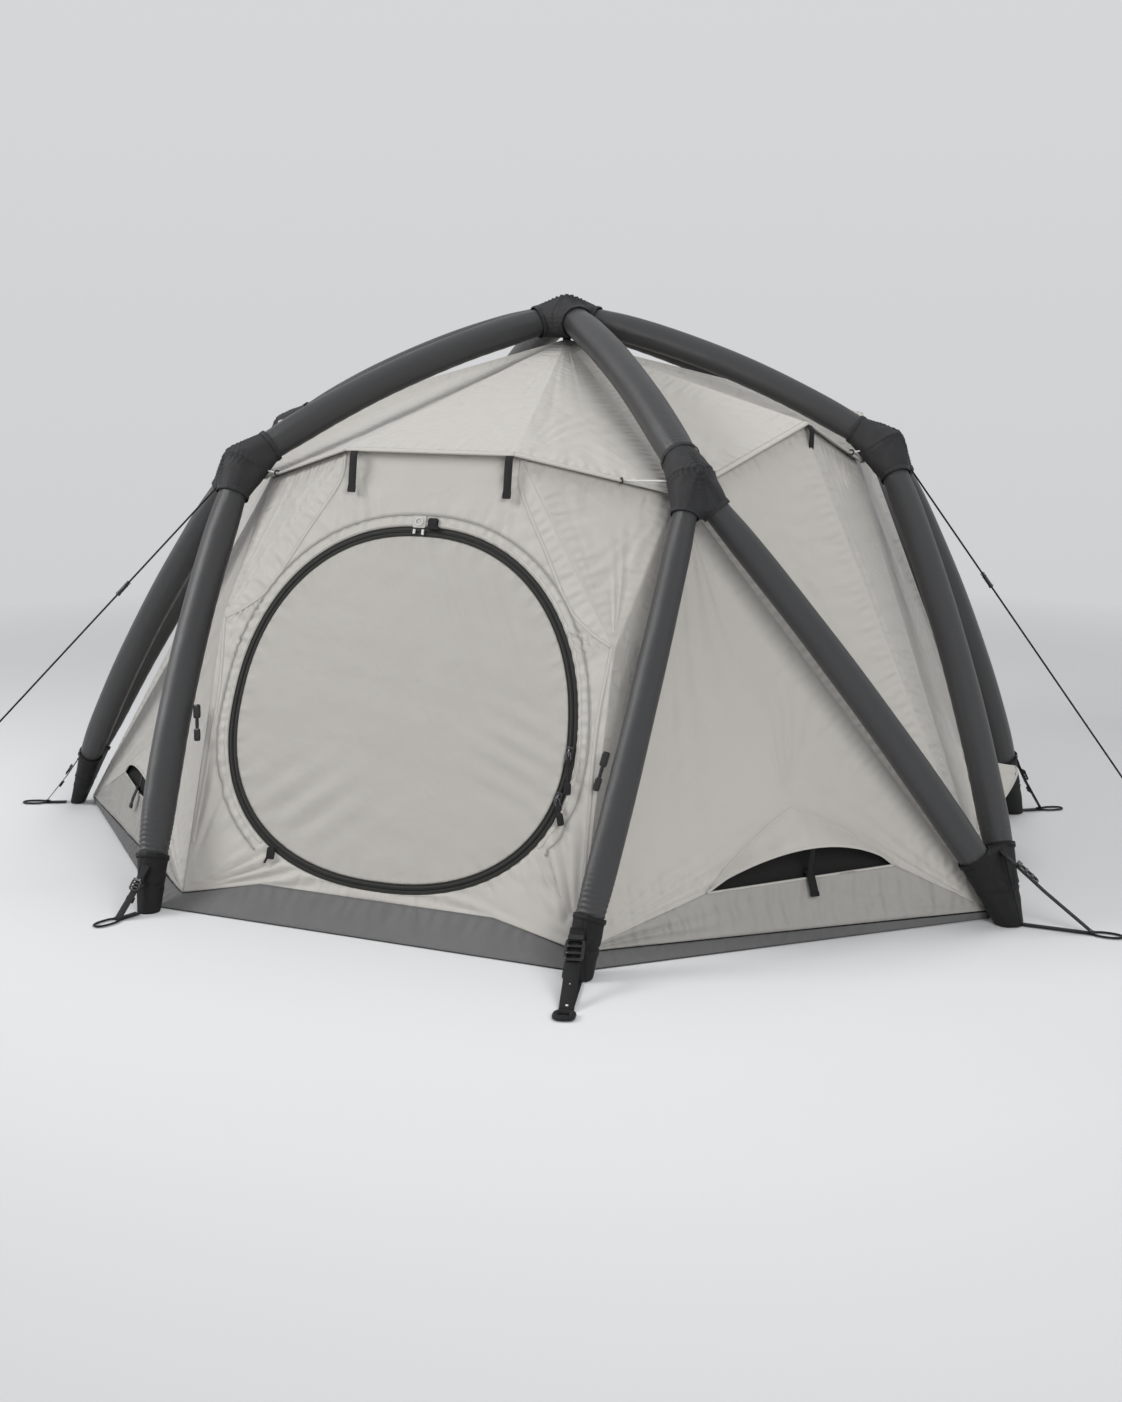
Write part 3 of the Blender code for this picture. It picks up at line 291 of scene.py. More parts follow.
class Finish(Nodes):
    """A procedural material: constants on the shader, and varying values fed into it."""

    def __init__(self, name, colour, roughness, **constants):
        self.material = bpy.data.materials.new(name)
        self.material.use_nodes = True
        self.tree = self.material.node_tree
        self.shader = self.tree.nodes["Principled BSDF"]
        self.colour = colour
        self.shader.inputs["Base Color"].default_value = (*colour, 1.0)
        self.shader.inputs["Roughness"].default_value = roughness
        for key, number in constants.items():
            self.shader.inputs[key.replace("_", " ")].default_value = number

    def place(self):
        """Object coordinates as a vector."""
        return self.node("TexCoord", output=3)

    def surface(self):
        """The piece's own map in metres: across and along."""
        return self.parts(self.node("UVMap", {"uv_map": "metres"}))[:2]

    def attribute(self, name):
        """The three numbers of a vector kept on the mesh."""
        return self.parts(self.node("Attribute", {"attribute_name": name}, 1))

    def noise(self, scale, detail, stretch=None):
        """Noise from 0 to 1 about one half, over object coordinates."""
        vector = self.place()
        if stretch is not None:
            vector = self.node("VectorMath", {"operation": "MULTIPLY"}, _0=vector, _1=stretch)
        return self.node("TexNoise", None, 0, Vector=vector, Scale=scale, Detail=detail)

    def tint(self, factor, colour):
        """Move the base colour toward another colour by a factor."""
        shown = self.shader.inputs["Base Color"]
        before = Value(self.tree, shown.links[0].from_socket) if shown.is_linked else (*self.colour, 1.0)
        mixed = self.node("Mix", {"data_type": "RGBA"}, 2, _0=factor, _6=before, _7=(*colour, 1.0))
        feed(self.tree, shown, mixed)

    def speckle(self, scale, detail, share, brightness):
        """Noise toward a brighter or darker shade of the base colour."""
        self.tint(self.noise(scale, detail) * share, shade(self.colour, brightness))

    def roughen(self, scale, detail, swing, least, stretch=None):
        """Roughness from noise: the least plus a swing."""
        rough = self.noise(scale, detail, stretch) * swing + least
        feed(self.tree, self.shader.inputs["Roughness"], rough)

    def relief(self, height):
        """Bump from a height in metres."""
        slot = self.shader.inputs["Normal"]
        sockets = {"Strength": 1.0, "Distance": 1.0, "Height": height}
        if slot.is_linked:
            sockets["Normal"] = Value(self.tree, slot.links[0].from_socket)
        feed(self.tree, slot, self.node("Bump", None, 0, **sockets))


def weave(finish, period, depth):
    """Plain weave: the product of two sines across and along the cloth."""
    across, along = finish.surface()
    return across.wave(period) * along.wave(period) * depth


def shade(colour, factor):
    return tuple(min(1.0, channel * factor) for channel in colour)


def puckers(finish, depth, length, reach):
    """Gathers square to each sewn seam: sine along it times the square of (d/reach) exp(1 - d/reach)."""
    gaps = finish.attribute("seam_gap")
    runs = finish.attribute("seam_run")
    wander = finish.noise(9.0, 2.0)
    total = None
    for gap, run in zip(gaps, runs):
        near = gap * (1.0 / reach)
        hump = (near * (1.0 - near).math("EXPONENT")) ** 2.0
        ripple = (run * (2 * pi / length) + wander * 9.0).math("SINE")
        term = hump * ripple
        total = term if total is None else total + term
    return total * depth


def canopy_finish(name, colour=(0.475, 0.458, 0.425)):
    """Thin coated canopy cloth: fine weave, gathers along the seams, soft creases, pale sheen."""
    made = Finish(name, colour, 0.52, Sheen_Weight=0.25, Sheen_Roughness=0.45, Specular_IOR_Level=0.42)
    made.speckle(3.0, 4.0, 0.35, 0.90)
    made.speckle(260.0, 2.0, 0.22, 1.16)
    made.roughen(14.0, 3.0, 0.22, 0.42)
    made.relief(weave(made, 0.0011, 0.00006))
    made.relief(made.noise(30.0, 4.0) * 0.0011 + made.noise(8.0, 3.0) * 0.0060)
    made.relief(puckers(made, 0.0009, 0.026, 0.022) + puckers(made, 0.0011, 0.065, 0.05))
    return made


def floor_finish(name):
    """Coated floor cloth: darker, smoother, with scuffs."""
    colour = (0.106, 0.106, 0.107)
    made = Finish(name, colour, 0.5, Sheen_Weight=0.1, Specular_IOR_Level=0.4)
    made.speckle(6.0, 5.0, 0.5, 1.3)
    made.roughen(20.0, 3.0, 0.25, 0.42)
    made.relief(weave(made, 0.0014, 0.00008))
    made.relief(made.noise(26.0, 4.0) * 0.0016 + puckers(made, 0.0014, 0.04, 0.03))
    return made


def sleeve_finish(name):
    """Tight woven beam sleeve: twill, long soft creases, one double-stitched seam along it."""
    colour = (0.027, 0.0274, 0.0285)
    made = Finish(name, colour, 0.4, Specular_IOR_Level=0.58, Coat_Weight=0.10, Coat_Roughness=0.32)
    across, along = made.surface()
    twill = (across + along).wave(0.0021) * 0.00008
    made.speckle(5.0, 4.0, 0.5, 1.35)
    made.speckle(420.0, 1.0, 0.35, 1.5)
    made.roughen(18.0, 3.0, 0.14, 0.34, stretch=(1.0, 1.0, 0.3))
    side = (across.math("ABSOLUTE") - 0.0045).math("ABSOLUTE")
    dash = (along / 0.005).math("FRACT").math("LESS_THAN", 0.62)
    thread = side.below(0.0006, 0.0006) * dash
    ridge = across.math("ABSOLUTE").below(0.0062, 0.002)
    made.tint(thread * 0.6, shade(colour, 0.35))
    made.tint(across.math("ABSOLUTE").below(0.0005, 0.0006) * 0.75, shade(colour, 0.25))
    made.relief(twill + ridge * 0.0007 + thread * 0.0004)
    made.relief(made.noise(11.0, 3.0) * 0.0035)
    return made


def cover_finish(name, colour):
    """Heavy sewn cloth of the hub covers and boots."""
    made = Finish(name, colour, 0.52, Specular_IOR_Level=0.36)
    x, y, z = made.parts(made.place())
    grain = ((x + y * 0.6).wave(0.0018) * (z + y * 0.8 - x * 0.3).wave(0.0018)) * 0.0001
    made.speckle(24.0, 4.0, 0.6, 1.45)
    made.speckle(380.0, 1.0, 0.3, 1.7)
    made.roughen(30.0, 3.0, 0.2, 0.52)
    made.relief(grain + made.noise(60.0, 3.0) * 0.0009)
    made.relief(made.noise(17.0, 3.0) * 0.0042)
    return made


def webbing_finish(name):
    """Flat webbing: ribs across the band and fine yarns along it."""
    colour = (0.0075, 0.0075, 0.008)
    made = Finish(name, colour, 0.55, Specular_IOR_Level=0.3)
    across, along = made.surface()
    rib = (along.wave(0.0021) * across.wave(0.0016)) * 0.00022
    made.speckle(300.0, 1.0, 0.5, 2.4)
    made.tint(along.wave(0.0021).below(0.0, 1.2) * 0.25, shade(colour, 2.0))
    made.relief(rib)
    return made


def zip_finish(name):
    """Zip tape: dark olive ribbed cloth with stitch lines near both edges."""
    colour = (0.024, 0.0245, 0.0215)
    made = Finish(name, colour, 0.58, Specular_IOR_Level=0.3)
    across, along = made.surface()
    stitch = (across.math("ABSOLUTE") - 0.0085).math("ABSOLUTE").below(0.0005, 0.0005)
    dash = (along / 0.0035).math("FRACT").math("LESS_THAN", 0.6)
    made.speckle(300.0, 1.0, 0.5, 1.8)
    made.tint(stitch * dash * 0.8, shade(colour, 0.3))
    made.relief(along.wave(0.0012) * across.wave(0.0016) * 0.00012 + stitch * dash * 0.0003)
    return made


def coil_finish(name):
    """Black zip coil: close teeth along the ring."""
    colour = (0.004, 0.004, 0.0045)
    made = Finish(name, colour, 0.40, Specular_IOR_Level=0.4)
    across, along = made.surface()
    teeth = (along + across * 0.35).wave(0.0016)
    made.tint(teeth.below(0.0, 1.0) * 0.5, (0.014, 0.014, 0.0145))
    made.relief(teeth * 0.0003)
    return made


def plastic_finish(name):
    """Moulded black plastic with a fine spark-eroded grain."""
    colour = (0.006, 0.006, 0.0065)
    made = Finish(name, colour, 0.28, Specular_IOR_Level=0.6)
    made.tint(made.noise(90.0, 3.0) * 0.35, (0.014, 0.014, 0.0145))
    made.roughen(70.0, 3.0, 0.16, 0.20)
    made.relief(made.noise(1400.0, 1.0) * 0.00006)
    return made


def metal_finish(name):
    """Black painted zip metal, its edges painted brighter: painted highlights along with wear."""
    colour = (0.016, 0.016, 0.017)
    made = Finish(name, colour, 0.30, Metallic=0.8, Specular_IOR_Level=0.5)
    off_edge = made.node("NewGeometry", None, 7).below(0.52, 0.04)
    # Bright edges: painted highlight and wear on the slider's edges.
    made.tint((1.0 - off_edge) * made.noise(220.0, 3.0) * 0.8, (0.34, 0.34, 0.35))
    made.roughen(120.0, 3.0, 0.2, 0.24)
    return made


def cord_finish(name):
    """Round braided cord: two crossing helices of strands."""
    colour = (0.009, 0.009, 0.010)
    made = Finish(name, colour, 0.55, Specular_IOR_Level=0.3)
    across, along = made.surface()
    one = (across + along * 0.5).wave(0.0026)
    two = (across - along * 0.5).wave(0.0026)
    made.tint((one * two).below(0.1, 0.5) * 0.5, (0.022, 0.022, 0.024))
    made.relief(one * two * 0.0003)
    return made


def net_finish(name):
    """Fine black netting: dark threads on a slightly paler gap."""
    colour = (0.012, 0.012, 0.012)
    made = Finish(name, colour, 0.8, Specular_IOR_Level=0.2)
    across, along = made.surface()
    hole = (across.wave(0.0028) * along.wave(0.0028)).below(-0.25, 0.3)
    made.tint(hole * 0.8, (0.05, 0.05, 0.048))
    made.relief(hole * -0.0004)
    return made


def thread_finish(name, colour):
    """Sewing thread, binding and pale cord: fine uneven yarn."""
    made = Finish(name, colour, 0.6, Specular_IOR_Level=0.3)
    made.speckle(900.0, 1.0, 0.4, 1.8)
    made.relief(made.noise(1600.0, 1.0) * 0.0001)
    return made


FINISHES = {
    "canopy_cloth": canopy_finish("canopy_cloth"),
    # The sill cloth is the canopy cloth painted darker: painted shade under the vents' hoods.
    "painted_shade_sill_cloth": canopy_finish("painted_shade_sill_cloth", (0.325, 0.316, 0.295)),
    # The flap cloth is the canopy cloth painted a little darker: painted shade on the door flap.
    "painted_shade_flap_cloth": canopy_finish("painted_shade_flap_cloth", (0.412, 0.397, 0.368)),
    "floor_cloth": floor_finish("floor_cloth"),
    "beam_sleeve": sleeve_finish("beam_sleeve"),
    "cover_cloth": cover_finish("cover_cloth", (0.021, 0.0212, 0.0222)),
    "boot_cloth": cover_finish("boot_cloth", (0.0058, 0.0058, 0.0062)),
    "webbing": webbing_finish("webbing"),
    "zip_tape": zip_finish("zip_tape"),
    "zip_coil": coil_finish("zip_coil"),
    "black_plastic": plastic_finish("black_plastic"),
    "slider_metal": metal_finish("slider_metal"),
    "cord": cord_finish("cord"),
    "netting": net_finish("netting"),
    "dark_thread": thread_finish("dark_thread", (0.020, 0.020, 0.021)),
    "pale_thread": thread_finish("pale_thread", (0.36, 0.35, 0.33)),
    "binding": thread_finish("binding", (0.25, 0.245, 0.23)),
    "white_cord": thread_finish("white_cord", (0.55, 0.55, 0.53)),
}


class Grid:
    """One surface patch: points of shape (rows, columns, 3), its map in metres, and its seams."""

    def __init__(self, points, uv=None, wrap=(False, False), outward=None, seams=()):
        self.points = points
        self.wrap = wrap
        self.outward = outward
        rows, columns = points.shape[:2]
        size = (rows + wrap[0], columns + wrap[1])
        if uv is None:
            uv = own_map(points, size)
        self.uv = uv
        self.gap, self.run = seam_fields(points, seams, size)


def own_map(points, size):
    """Distances in metres along the middle column and the middle row."""
    ring = np.concatenate([points, points[:1]])[: size[0]]
    ring = closed_map(ring)[:, : size[1]]
    over = travelled(ring[size[0] // 2])
    return crossed(over - over[-1] / 2, travelled(ring[:, size[1] // 2]))


def seam_fields(points, seams, size):
    """Distance to each of up to three seam lines, and the run along it; far where there is none."""
    rows, columns = points.shape[:2]
    gap = np.full((rows, columns, 3), NO_SEAM)
    run = np.zeros((rows, columns, 3))
    for index, seam in enumerate(seams[:3]):
        if callable(seam):
            gap[..., index], run[..., index] = seam(points)
            continue
        along = unit(seam[1] - seam[0])
        offset = points - seam[0]
        run[..., index] = offset @ along
        gap[..., index] = np.linalg.norm(offset - run[..., index, None] * along, axis=-1)
    gap = np.concatenate([gap, gap[:1]])[: size[0]]
    run = np.concatenate([run, run[:1]])[: size[0]]
    gap = closed_map(gap)[:, : size[1]]
    last = run[:, :1] + np.round((run[:, -1:] - run[:, :1]) / DOOR_ROUND) * DOOR_ROUND
    run = np.concatenate([run, last], axis=1)[:, : size[1]]
    return gap, run


def quads_of(rows, columns, wrap):
    """Vertex and map indices of a grid's faces."""
    i, j = np.meshgrid(np.arange(rows - 1 + wrap[0]), np.arange(columns - 1 + wrap[1]), indexing="ij")
    corners = ((i, j), (i, j + 1), (i + 1, j + 1), (i + 1, j))
    faces = [(a % rows) * columns + b % columns for a, b in corners]
    maps = [a * (columns + wrap[1]) + b for a, b in corners]
    return np.stack(faces, -1).reshape(-1, 4), np.stack(maps, -1).reshape(-1, 4)


def piece(name, grids, finish, body="tent", replaces=(), thickness=0.0, closed=False):
    """Make one object of several grids: weld poles and seams, face it out, dress it and mount it."""
    points, faces, maps, gaps, runs = [], [], [], [], []
    count = 0
    for grid in grids:
        rows, columns = grid.points.shape[:2]
        quads, corners = quads_of(rows, columns, grid.wrap)
        flat = grid.points.reshape(-1, 3)
        if grid.outward is not None:
            a, b, d = flat[quads[:, 0]], flat[quads[:, 1]], flat[quads[:, 3]]
            facing = (np.cross(b - a, d - a) * grid.outward).sum()
            if facing < 0:
                quads, corners = quads[:, ::-1], corners[:, ::-1]
        points.append(flat)
        faces.append(quads + count)
        maps.append(grid.uv.reshape(-1, 2)[corners])
        gaps.append(grid.gap.reshape(-1, 3)[corners])
        runs.append(grid.run.reshape(-1, 3)[corners])
        count += len(flat)
    mesh = bpy.data.meshes.new(name)
    mesh.from_pydata(np.concatenate(points), [], np.concatenate(faces))
    layer = mesh.uv_layers.new(name="metres")
    layer.data.foreach_set("uv", np.concatenate(maps).reshape(-1).astype(np.float32))
    for label, values in (("seam_gap", gaps), ("seam_run", runs)):
        store = mesh.attributes.new(label, "FLOAT_VECTOR", "CORNER")
        store.data.foreach_set("vector", np.concatenate(values).reshape(-1).astype(np.float32))
    bm = bmesh.new()
    bm.from_mesh(mesh)
    bmesh.ops.remove_doubles(bm, verts=bm.verts, dist=WELD)
    bmesh.ops.dissolve_degenerate(bm, edges=bm.edges, dist=SLIVER)
    if closed:
        bmesh.ops.recalc_face_normals(bm, faces=bm.faces)
    bm.to_mesh(mesh)
    bm.free()
    return dress(name, mesh, finish, body, replaces, thickness)


def dress(name, mesh, finish, body="tent", replaces=(), thickness=0.0):
    """Put a mesh in the scene with its material, wall thickness and body, and hide the parts it replaces."""
    item = bpy.data.objects.new(name, mesh)
    bpy.context.scene.collection.objects.link(item)
    mesh.materials.append(FINISHES[finish].material)
    mesh.shade_smooth()
    if thickness:
        wall = item.modifiers.new("wall", "SOLIDIFY")
        wall.thickness = thickness
        wall.offset = 0.0
    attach(item, body)
    if replaces:
        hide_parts(*replaces)
    return item


def sweep(path, section, normal, wrap=False, scale=None):
    """Carry a closed section (across, up) along a path; up follows the given normals.

    Point (i, k) is path i plus across k times side i plus up k times normal i.
    """
    path = np.asarray(path, float)
    if wrap:
        along = unit(np.roll(path, -1, axis=0) - np.roll(path, 1, axis=0))
    else:
        along = unit(np.gradient(path, axis=0))
    normal = np.broadcast_to(np.asarray(normal, float), path.shape)
    normal = normal - (normal * along).sum(-1, keepdims=True) * along
    normal = unit(normal)
    side = np.cross(along, normal)
    section = np.asarray(section, float)
    grow = np.ones(len(path)) if scale is None else np.asarray(scale, float)
    return (path[:, None] + side[:, None] * (section[None, :, :1] * grow[:, None, None])
            + normal[:, None] * (section[None, :, 1:] * grow[:, None, None]))


def capped(points):
    """Close a swept tube's two ends with a point each."""
    first = np.broadcast_to(points[0].mean(0), points[0].shape)[None]
    last = np.broadcast_to(points[-1].mean(0), points[-1].shape)[None]
    return np.concatenate([first, points, last])


def tube(path, section, normal, scale=None):
    """A section swept along a path, closed at both ends."""
    return Grid(capped(sweep(path, section, normal, scale=scale)), None, (False, True))


def round_section(radius, sides=12, flat=1.0):
    """Ellipse section, its height flat times its width."""
    turn = circle(sides)
    return np.stack([radius * np.cos(turn), radius * flat * np.sin(turn)], -1)


def band_section(width, thickness):
    """Webbing section: a flat band with rounded edges."""
    turn = circle(12)
    c, s = np.cos(turn), np.sin(turn)
    x = (width / 2 - thickness / 2) * np.sign(np.round(c, 6)) * (np.abs(c) > 0.3) + thickness / 2 * c
    return np.stack([x, thickness / 2 * s], -1)


def smooth_path(points, count):
    """Catmull-Rom curve through points, evenly spaced by length."""
    points = np.asarray(points, float)
    ends = np.concatenate([[2 * points[0] - points[1]], points, [2 * points[-1] - points[-2]]])
    t = np.linspace(0, 1, 24, endpoint=False)[:, None]
    runs = []
    for index in range(len(points) - 1):
        a, b, c, d = ends[index: index + 4]
        runs.append(0.5 * (2 * b + (c - a) * t + (2 * a - 5 * b + 4 * c - d) * t ** 2
                           + (3 * b - a - 3 * c + d) * t ** 3))
    dense = np.concatenate(runs + [points[-1:]])
    return evenly(dense, count)


def evenly(points, count):
    """The same line with its points evenly spaced by length."""
    steps = travelled(points)
    return at_lengths(np.linspace(0, steps[-1], count), steps, points)


def drape(points, surface, way):
    """Move points along a direction onto a surface grid: the four nearest grid points set the height.

    Height = sum(h / d^2) / sum(1 / d^2), d measured square to the direction.
    """
    way = unit(way)
    spots = surface.reshape(-1, 3)
    heights = spots @ way
    level = spots - heights[:, None] * way
    moved = []
    for point in np.asarray(points, float):
        rise = point @ way
        off = ((level - (point - rise * way)) ** 2).sum(-1)
        near = np.argpartition(off, 4)[:4]
        share = 1.0 / (off[near] + 1e-8)
        moved.append(point + way * ((heights[near] * share).sum() / share.sum() - rise))
    return np.array(moved)


def length_of(points):
    return float(np.linalg.norm(np.diff(points, axis=0), axis=1).sum())


def stitches(name, lines, finish, pitch=0.0052, length=0.0034, radius=0.00055):
    """Rows of thread: each stitch is a small four-sided bead laid along its line."""
    middles, runs, ups = [], [], []
    for path, normal in lines:
        steps = travelled(path)
        at = np.arange(pitch / 2, steps[-1], pitch)
        if not len(at):
            continue
        middles.append(at_lengths(at, steps, path))
        ahead, behind = [at_lengths(at + shift, steps, path) for shift in (pitch / 9, -pitch / 9)]
        runs.append(unit(ahead - behind))
        ups.append(unit(at_lengths(at, steps, np.broadcast_to(normal, path.shape))))
    middle, run, up = np.concatenate(middles), np.concatenate(runs), np.concatenate(ups)
    side = unit(np.cross(run, up))
    shape = [(-0.5, 0, 0), (-0.25, 1, 0), (-0.25, 0, 1), (-0.25, -1, 0), (-0.25, 0, -1),
             (0.25, 1, 0), (0.25, 0, 1), (0.25, -1, 0), (0.25, 0, -1), (0.5, 0, 0)]
    rings = [middle + run * (a * length) + side * (b * radius) + up * (c * radius) for a, b, c in shape]
    points = np.stack(rings, 1).reshape(-1, 3)
    pattern = []
    for k in range(4):
        n = (k + 1) % 4
        pattern += [(0, 1 + n, 1 + k), (1 + k, 1 + n, 5 + n), (1 + k, 5 + n, 5 + k), (9, 5 + k, 5 + n)]
    faces = (np.array(pattern)[None] + 10 * np.arange(len(middle))[:, None, None]).reshape(-1, 3)
    mesh = bpy.data.meshes.new(name)
    mesh.from_pydata(points, [], faces[:, ::-1])
    return dress(name, mesh, finish)


class Beam:
    """One air beam: a parabola bowed outward between two frame points."""

    def __init__(self, start, end, bow, widths):
        self.start, self.end, self.bow = start, end, bow
        self.first_width, self.last_width, self.pinch = widths
        axis = unit(end - start)
        lean = (start + end) / 2 - CORE
        self.outward = unit(lean - axis * (lean @ axis))
        self.length = float(np.linalg.norm(end - start))

    def at(self, share):
        share = np.asarray(share, float)[..., None]
        return mix(self.start, self.end, share) + self.outward * (4 * self.bow * share * (1 - share))

    def along(self, share):
        return unit(self.end - self.start + self.outward * (4 * self.bow * (1 - 2 * share)))

    def radius(self, share):
        """Radius along the beam: a straight change between its two width factors, pinched at a foot."""
        left = (1 - np.asarray(share)) * self.length
        pinched = 1 - self.pinch * np.exp(-(left / PINCH_REACH) ** 2)
        return BEAM_RADIUS * mix(self.first_width, self.last_width, share) * pinched


# Width factors at a beam's first and last end, and how far it is pinched at its last end
PLAIN_ROOF_WIDTHS = (1.0, 1.0, 0.0)
PLAIN_LEG_WIDTHS = (0.98, 1.0, 0.12)
BEAM_WIDTHS = {
    "roof_beam_front_right": (1.05, 1.12, 0.0),
    "roof_beam_right": (0.94, 0.90, 0.0),
    "leg_beam_front_left_to_door_left": (0.98, 1.06, 0.24),
    "leg_beam_front_right_to_door_right": (0.76, 0.90, 0.10),
    "leg_beam_front_left_to_side_front_left": (0.96, 0.84, 0.42),
    "leg_beam_left_to_side_front_left": (0.92, 0.80, 0.42),
    "leg_beam_front_right_to_side_front_right": (0.84, 1.0, 0.12),
    "leg_beam_right_to_side_front_right": (0.92, 0.94, 0.12),
}


def leg_name(hub, foot):
    return "leg_beam_" + hub + "_to_" + foot


def leg_beam(hub, foot):
    return BEAMS[leg_name(hub, foot)]


BEAMS = {}
for hub, point in HUBS.items():
    name = "roof_beam_" + hub
    BEAMS[name] = Beam(APEX, point, ROOF_BOW, BEAM_WIDTHS.get(name, PLAIN_ROOF_WIDTHS))
for hub, foot in LEGS:
    name = leg_name(hub, foot)
    BEAMS[name] = Beam(HUBS[hub], FEET[foot], LEG_BOW, BEAM_WIDTHS.get(name, PLAIN_LEG_WIDTHS))


def beam_skin(beam, first, last, mouth, wrinkle, seed):
    """Sleeve grid: radius R times 1 + creases, which grow where a cover pinches the sleeve at its mouth.

    Creases: a lengthwise ripple cos(k * turn + drift) that fades over 90 mm from each end, plus
    short cross ripples on the inner side of the bow, and a raised seam line.
    """
    rows, columns = 300, 56
    even = np.linspace(0, 1, rows)
    even = even - 0.11 * np.sin(2 * pi * even)
    share = mix(first / beam.length, 1 - last / beam.length, even)
    path = beam.at(share)
    along = unit(np.gradient(path, axis=0))
    out = unit(beam.outward - (along @ beam.outward)[:, None] * along)
    side = np.cross(along, out)
    turn = circle(columns)
    run = (share - share[0])[:, None] * beam.length
    left = (share[-1] - share)[:, None] * beam.length
    rng = np.random.default_rng(seed)
    shift = rng.uniform(0, 2 * pi, 8)
    pinch = np.exp(-run / 0.10) + np.exp(-left / 0.12)
    ripple = 0.012 * pinch * np.cos(9 * turn + shift[0] + 14 * run)
    ripple += 0.008 * pinch * np.cos(14 * turn + shift[1] - 22 * run)
    inner = np.clip(-np.cos(turn), 0, 1) ** 2
    crossing = 0.006 * inner * np.cos(2 * pi * run / 0.047 + 1.3 * np.sin(3 * turn + shift[2]) + shift[3])
    foot = wrinkle * np.exp(-np.clip(left - mouth, 0, 1) / 0.075) * np.cos(
        2 * pi * left / 0.0125 + 1.3 * np.sin(2 * turn + shift[4]) + 0.8 * np.sin(5 * turn))
    slow = 0.006 * np.sin(2 * pi * run / 0.31 + 2 * turn + shift[5]) + 0.004 * np.sin(3 * turn + shift[6])
    neck = -0.085 * np.exp(-((run - 0.028) / 0.060) ** 2) - 0.05 * np.exp(-((left - mouth) / 0.050) ** 2)
    hidden = np.clip((mouth - 0.003 - left) / 0.008, 0, 1)
    foot = foot * (1 - hidden)
    neck = neck - 0.10 * hidden - 0.30 * np.clip((mouth - 0.010 - left) / 0.09, 0, 1)
    radius = beam.radius(share)[:, None] * (1 + ripple + crossing + foot + slow + neck - 0.012)
    points = (path[:, None] + out[:, None] * (radius * np.cos(turn))[..., None]
              + side[:, None] * (radius * np.sin(turn))[..., None])
    seam = 2.2 if seed % 2 else -2.2
    arc = (np.arange(columns + 1) * 2 * pi / columns - seam + pi) % (2 * pi) - pi
    arc[-1] = arc[0] + 2 * pi if arc[0] < 0 else arc[0]
    u = np.unwrap(arc) * BEAM_RADIUS
    girth = 2 * pi * BEAM_RADIUS
    u = u - round(float(u[np.argmin(np.abs(np.cos(arc) - 1))]) / girth) * girth
    return Grid(points, crossed(u, run[:, 0]), (False, True))


def build_beams():
    """Eighteen sleeves, each in place of its solid."""
    for seed, (name, beam) in enumerate(BEAMS.items()):
        last, reach, wrinkle = SLEEVE_START, COVER_REACH, 0.004
        if name.startswith("leg"):
            double = name.split("_to_")[1] in DOUBLE_FEET
            last, reach, wrinkle = 0.03, SINGLE_BOOT_REACH, 0.034
            if double:
                last, reach, wrinkle = 0.14, DOUBLE_BOOT_REACH, 0.006
        grid = beam_skin(beam, SLEEVE_START, last, reach - last, wrinkle, seed)
        uv = np.concatenate([grid.uv[:1], grid.uv, grid.uv[-1:]])
        piece("sleeve_of_" + name, [Grid(capped(grid.points), uv, (False, True))], "beam_sleeve",
              replaces=(name,), closed=True)


def hull_planes(points, centre):
    """Outward normals and distances of the convex skin of points, seen from the centre."""
    bm = bmesh.new()
    for point in points:
        bm.verts.new(point)
    bmesh.ops.convex_hull(bm, input=list(bm.verts))
    rows = []
    for face in bm.faces:
        face.normal_update()
        normal = np.array(face.normal)
        if np.linalg.norm(normal) < 0.5:
            continue
        distance = float(normal @ (np.array(face.verts[0].co) - centre))
        rows.append(np.append(normal, distance) * (1 if distance > 0 else -1))
    bm.free()
    planes = np.unique(np.round(np.array(rows), 4), axis=0)
    planes = planes[planes[:, 3] > 0.004]
    return planes[:, :3], planes[:, 3]


def ring(centre, axis, radius, sides=24):
    """Points of a circle square to an axis."""
    axis = unit(axis)
    across = unit(np.cross(axis, UP if abs(axis[2]) < 0.95 else vec(1, 0, 0)))
    other = np.cross(axis, across)
    turn = circle(sides)[:, None]
    return centre + radius * (across * np.cos(turn) + other * np.sin(turn))


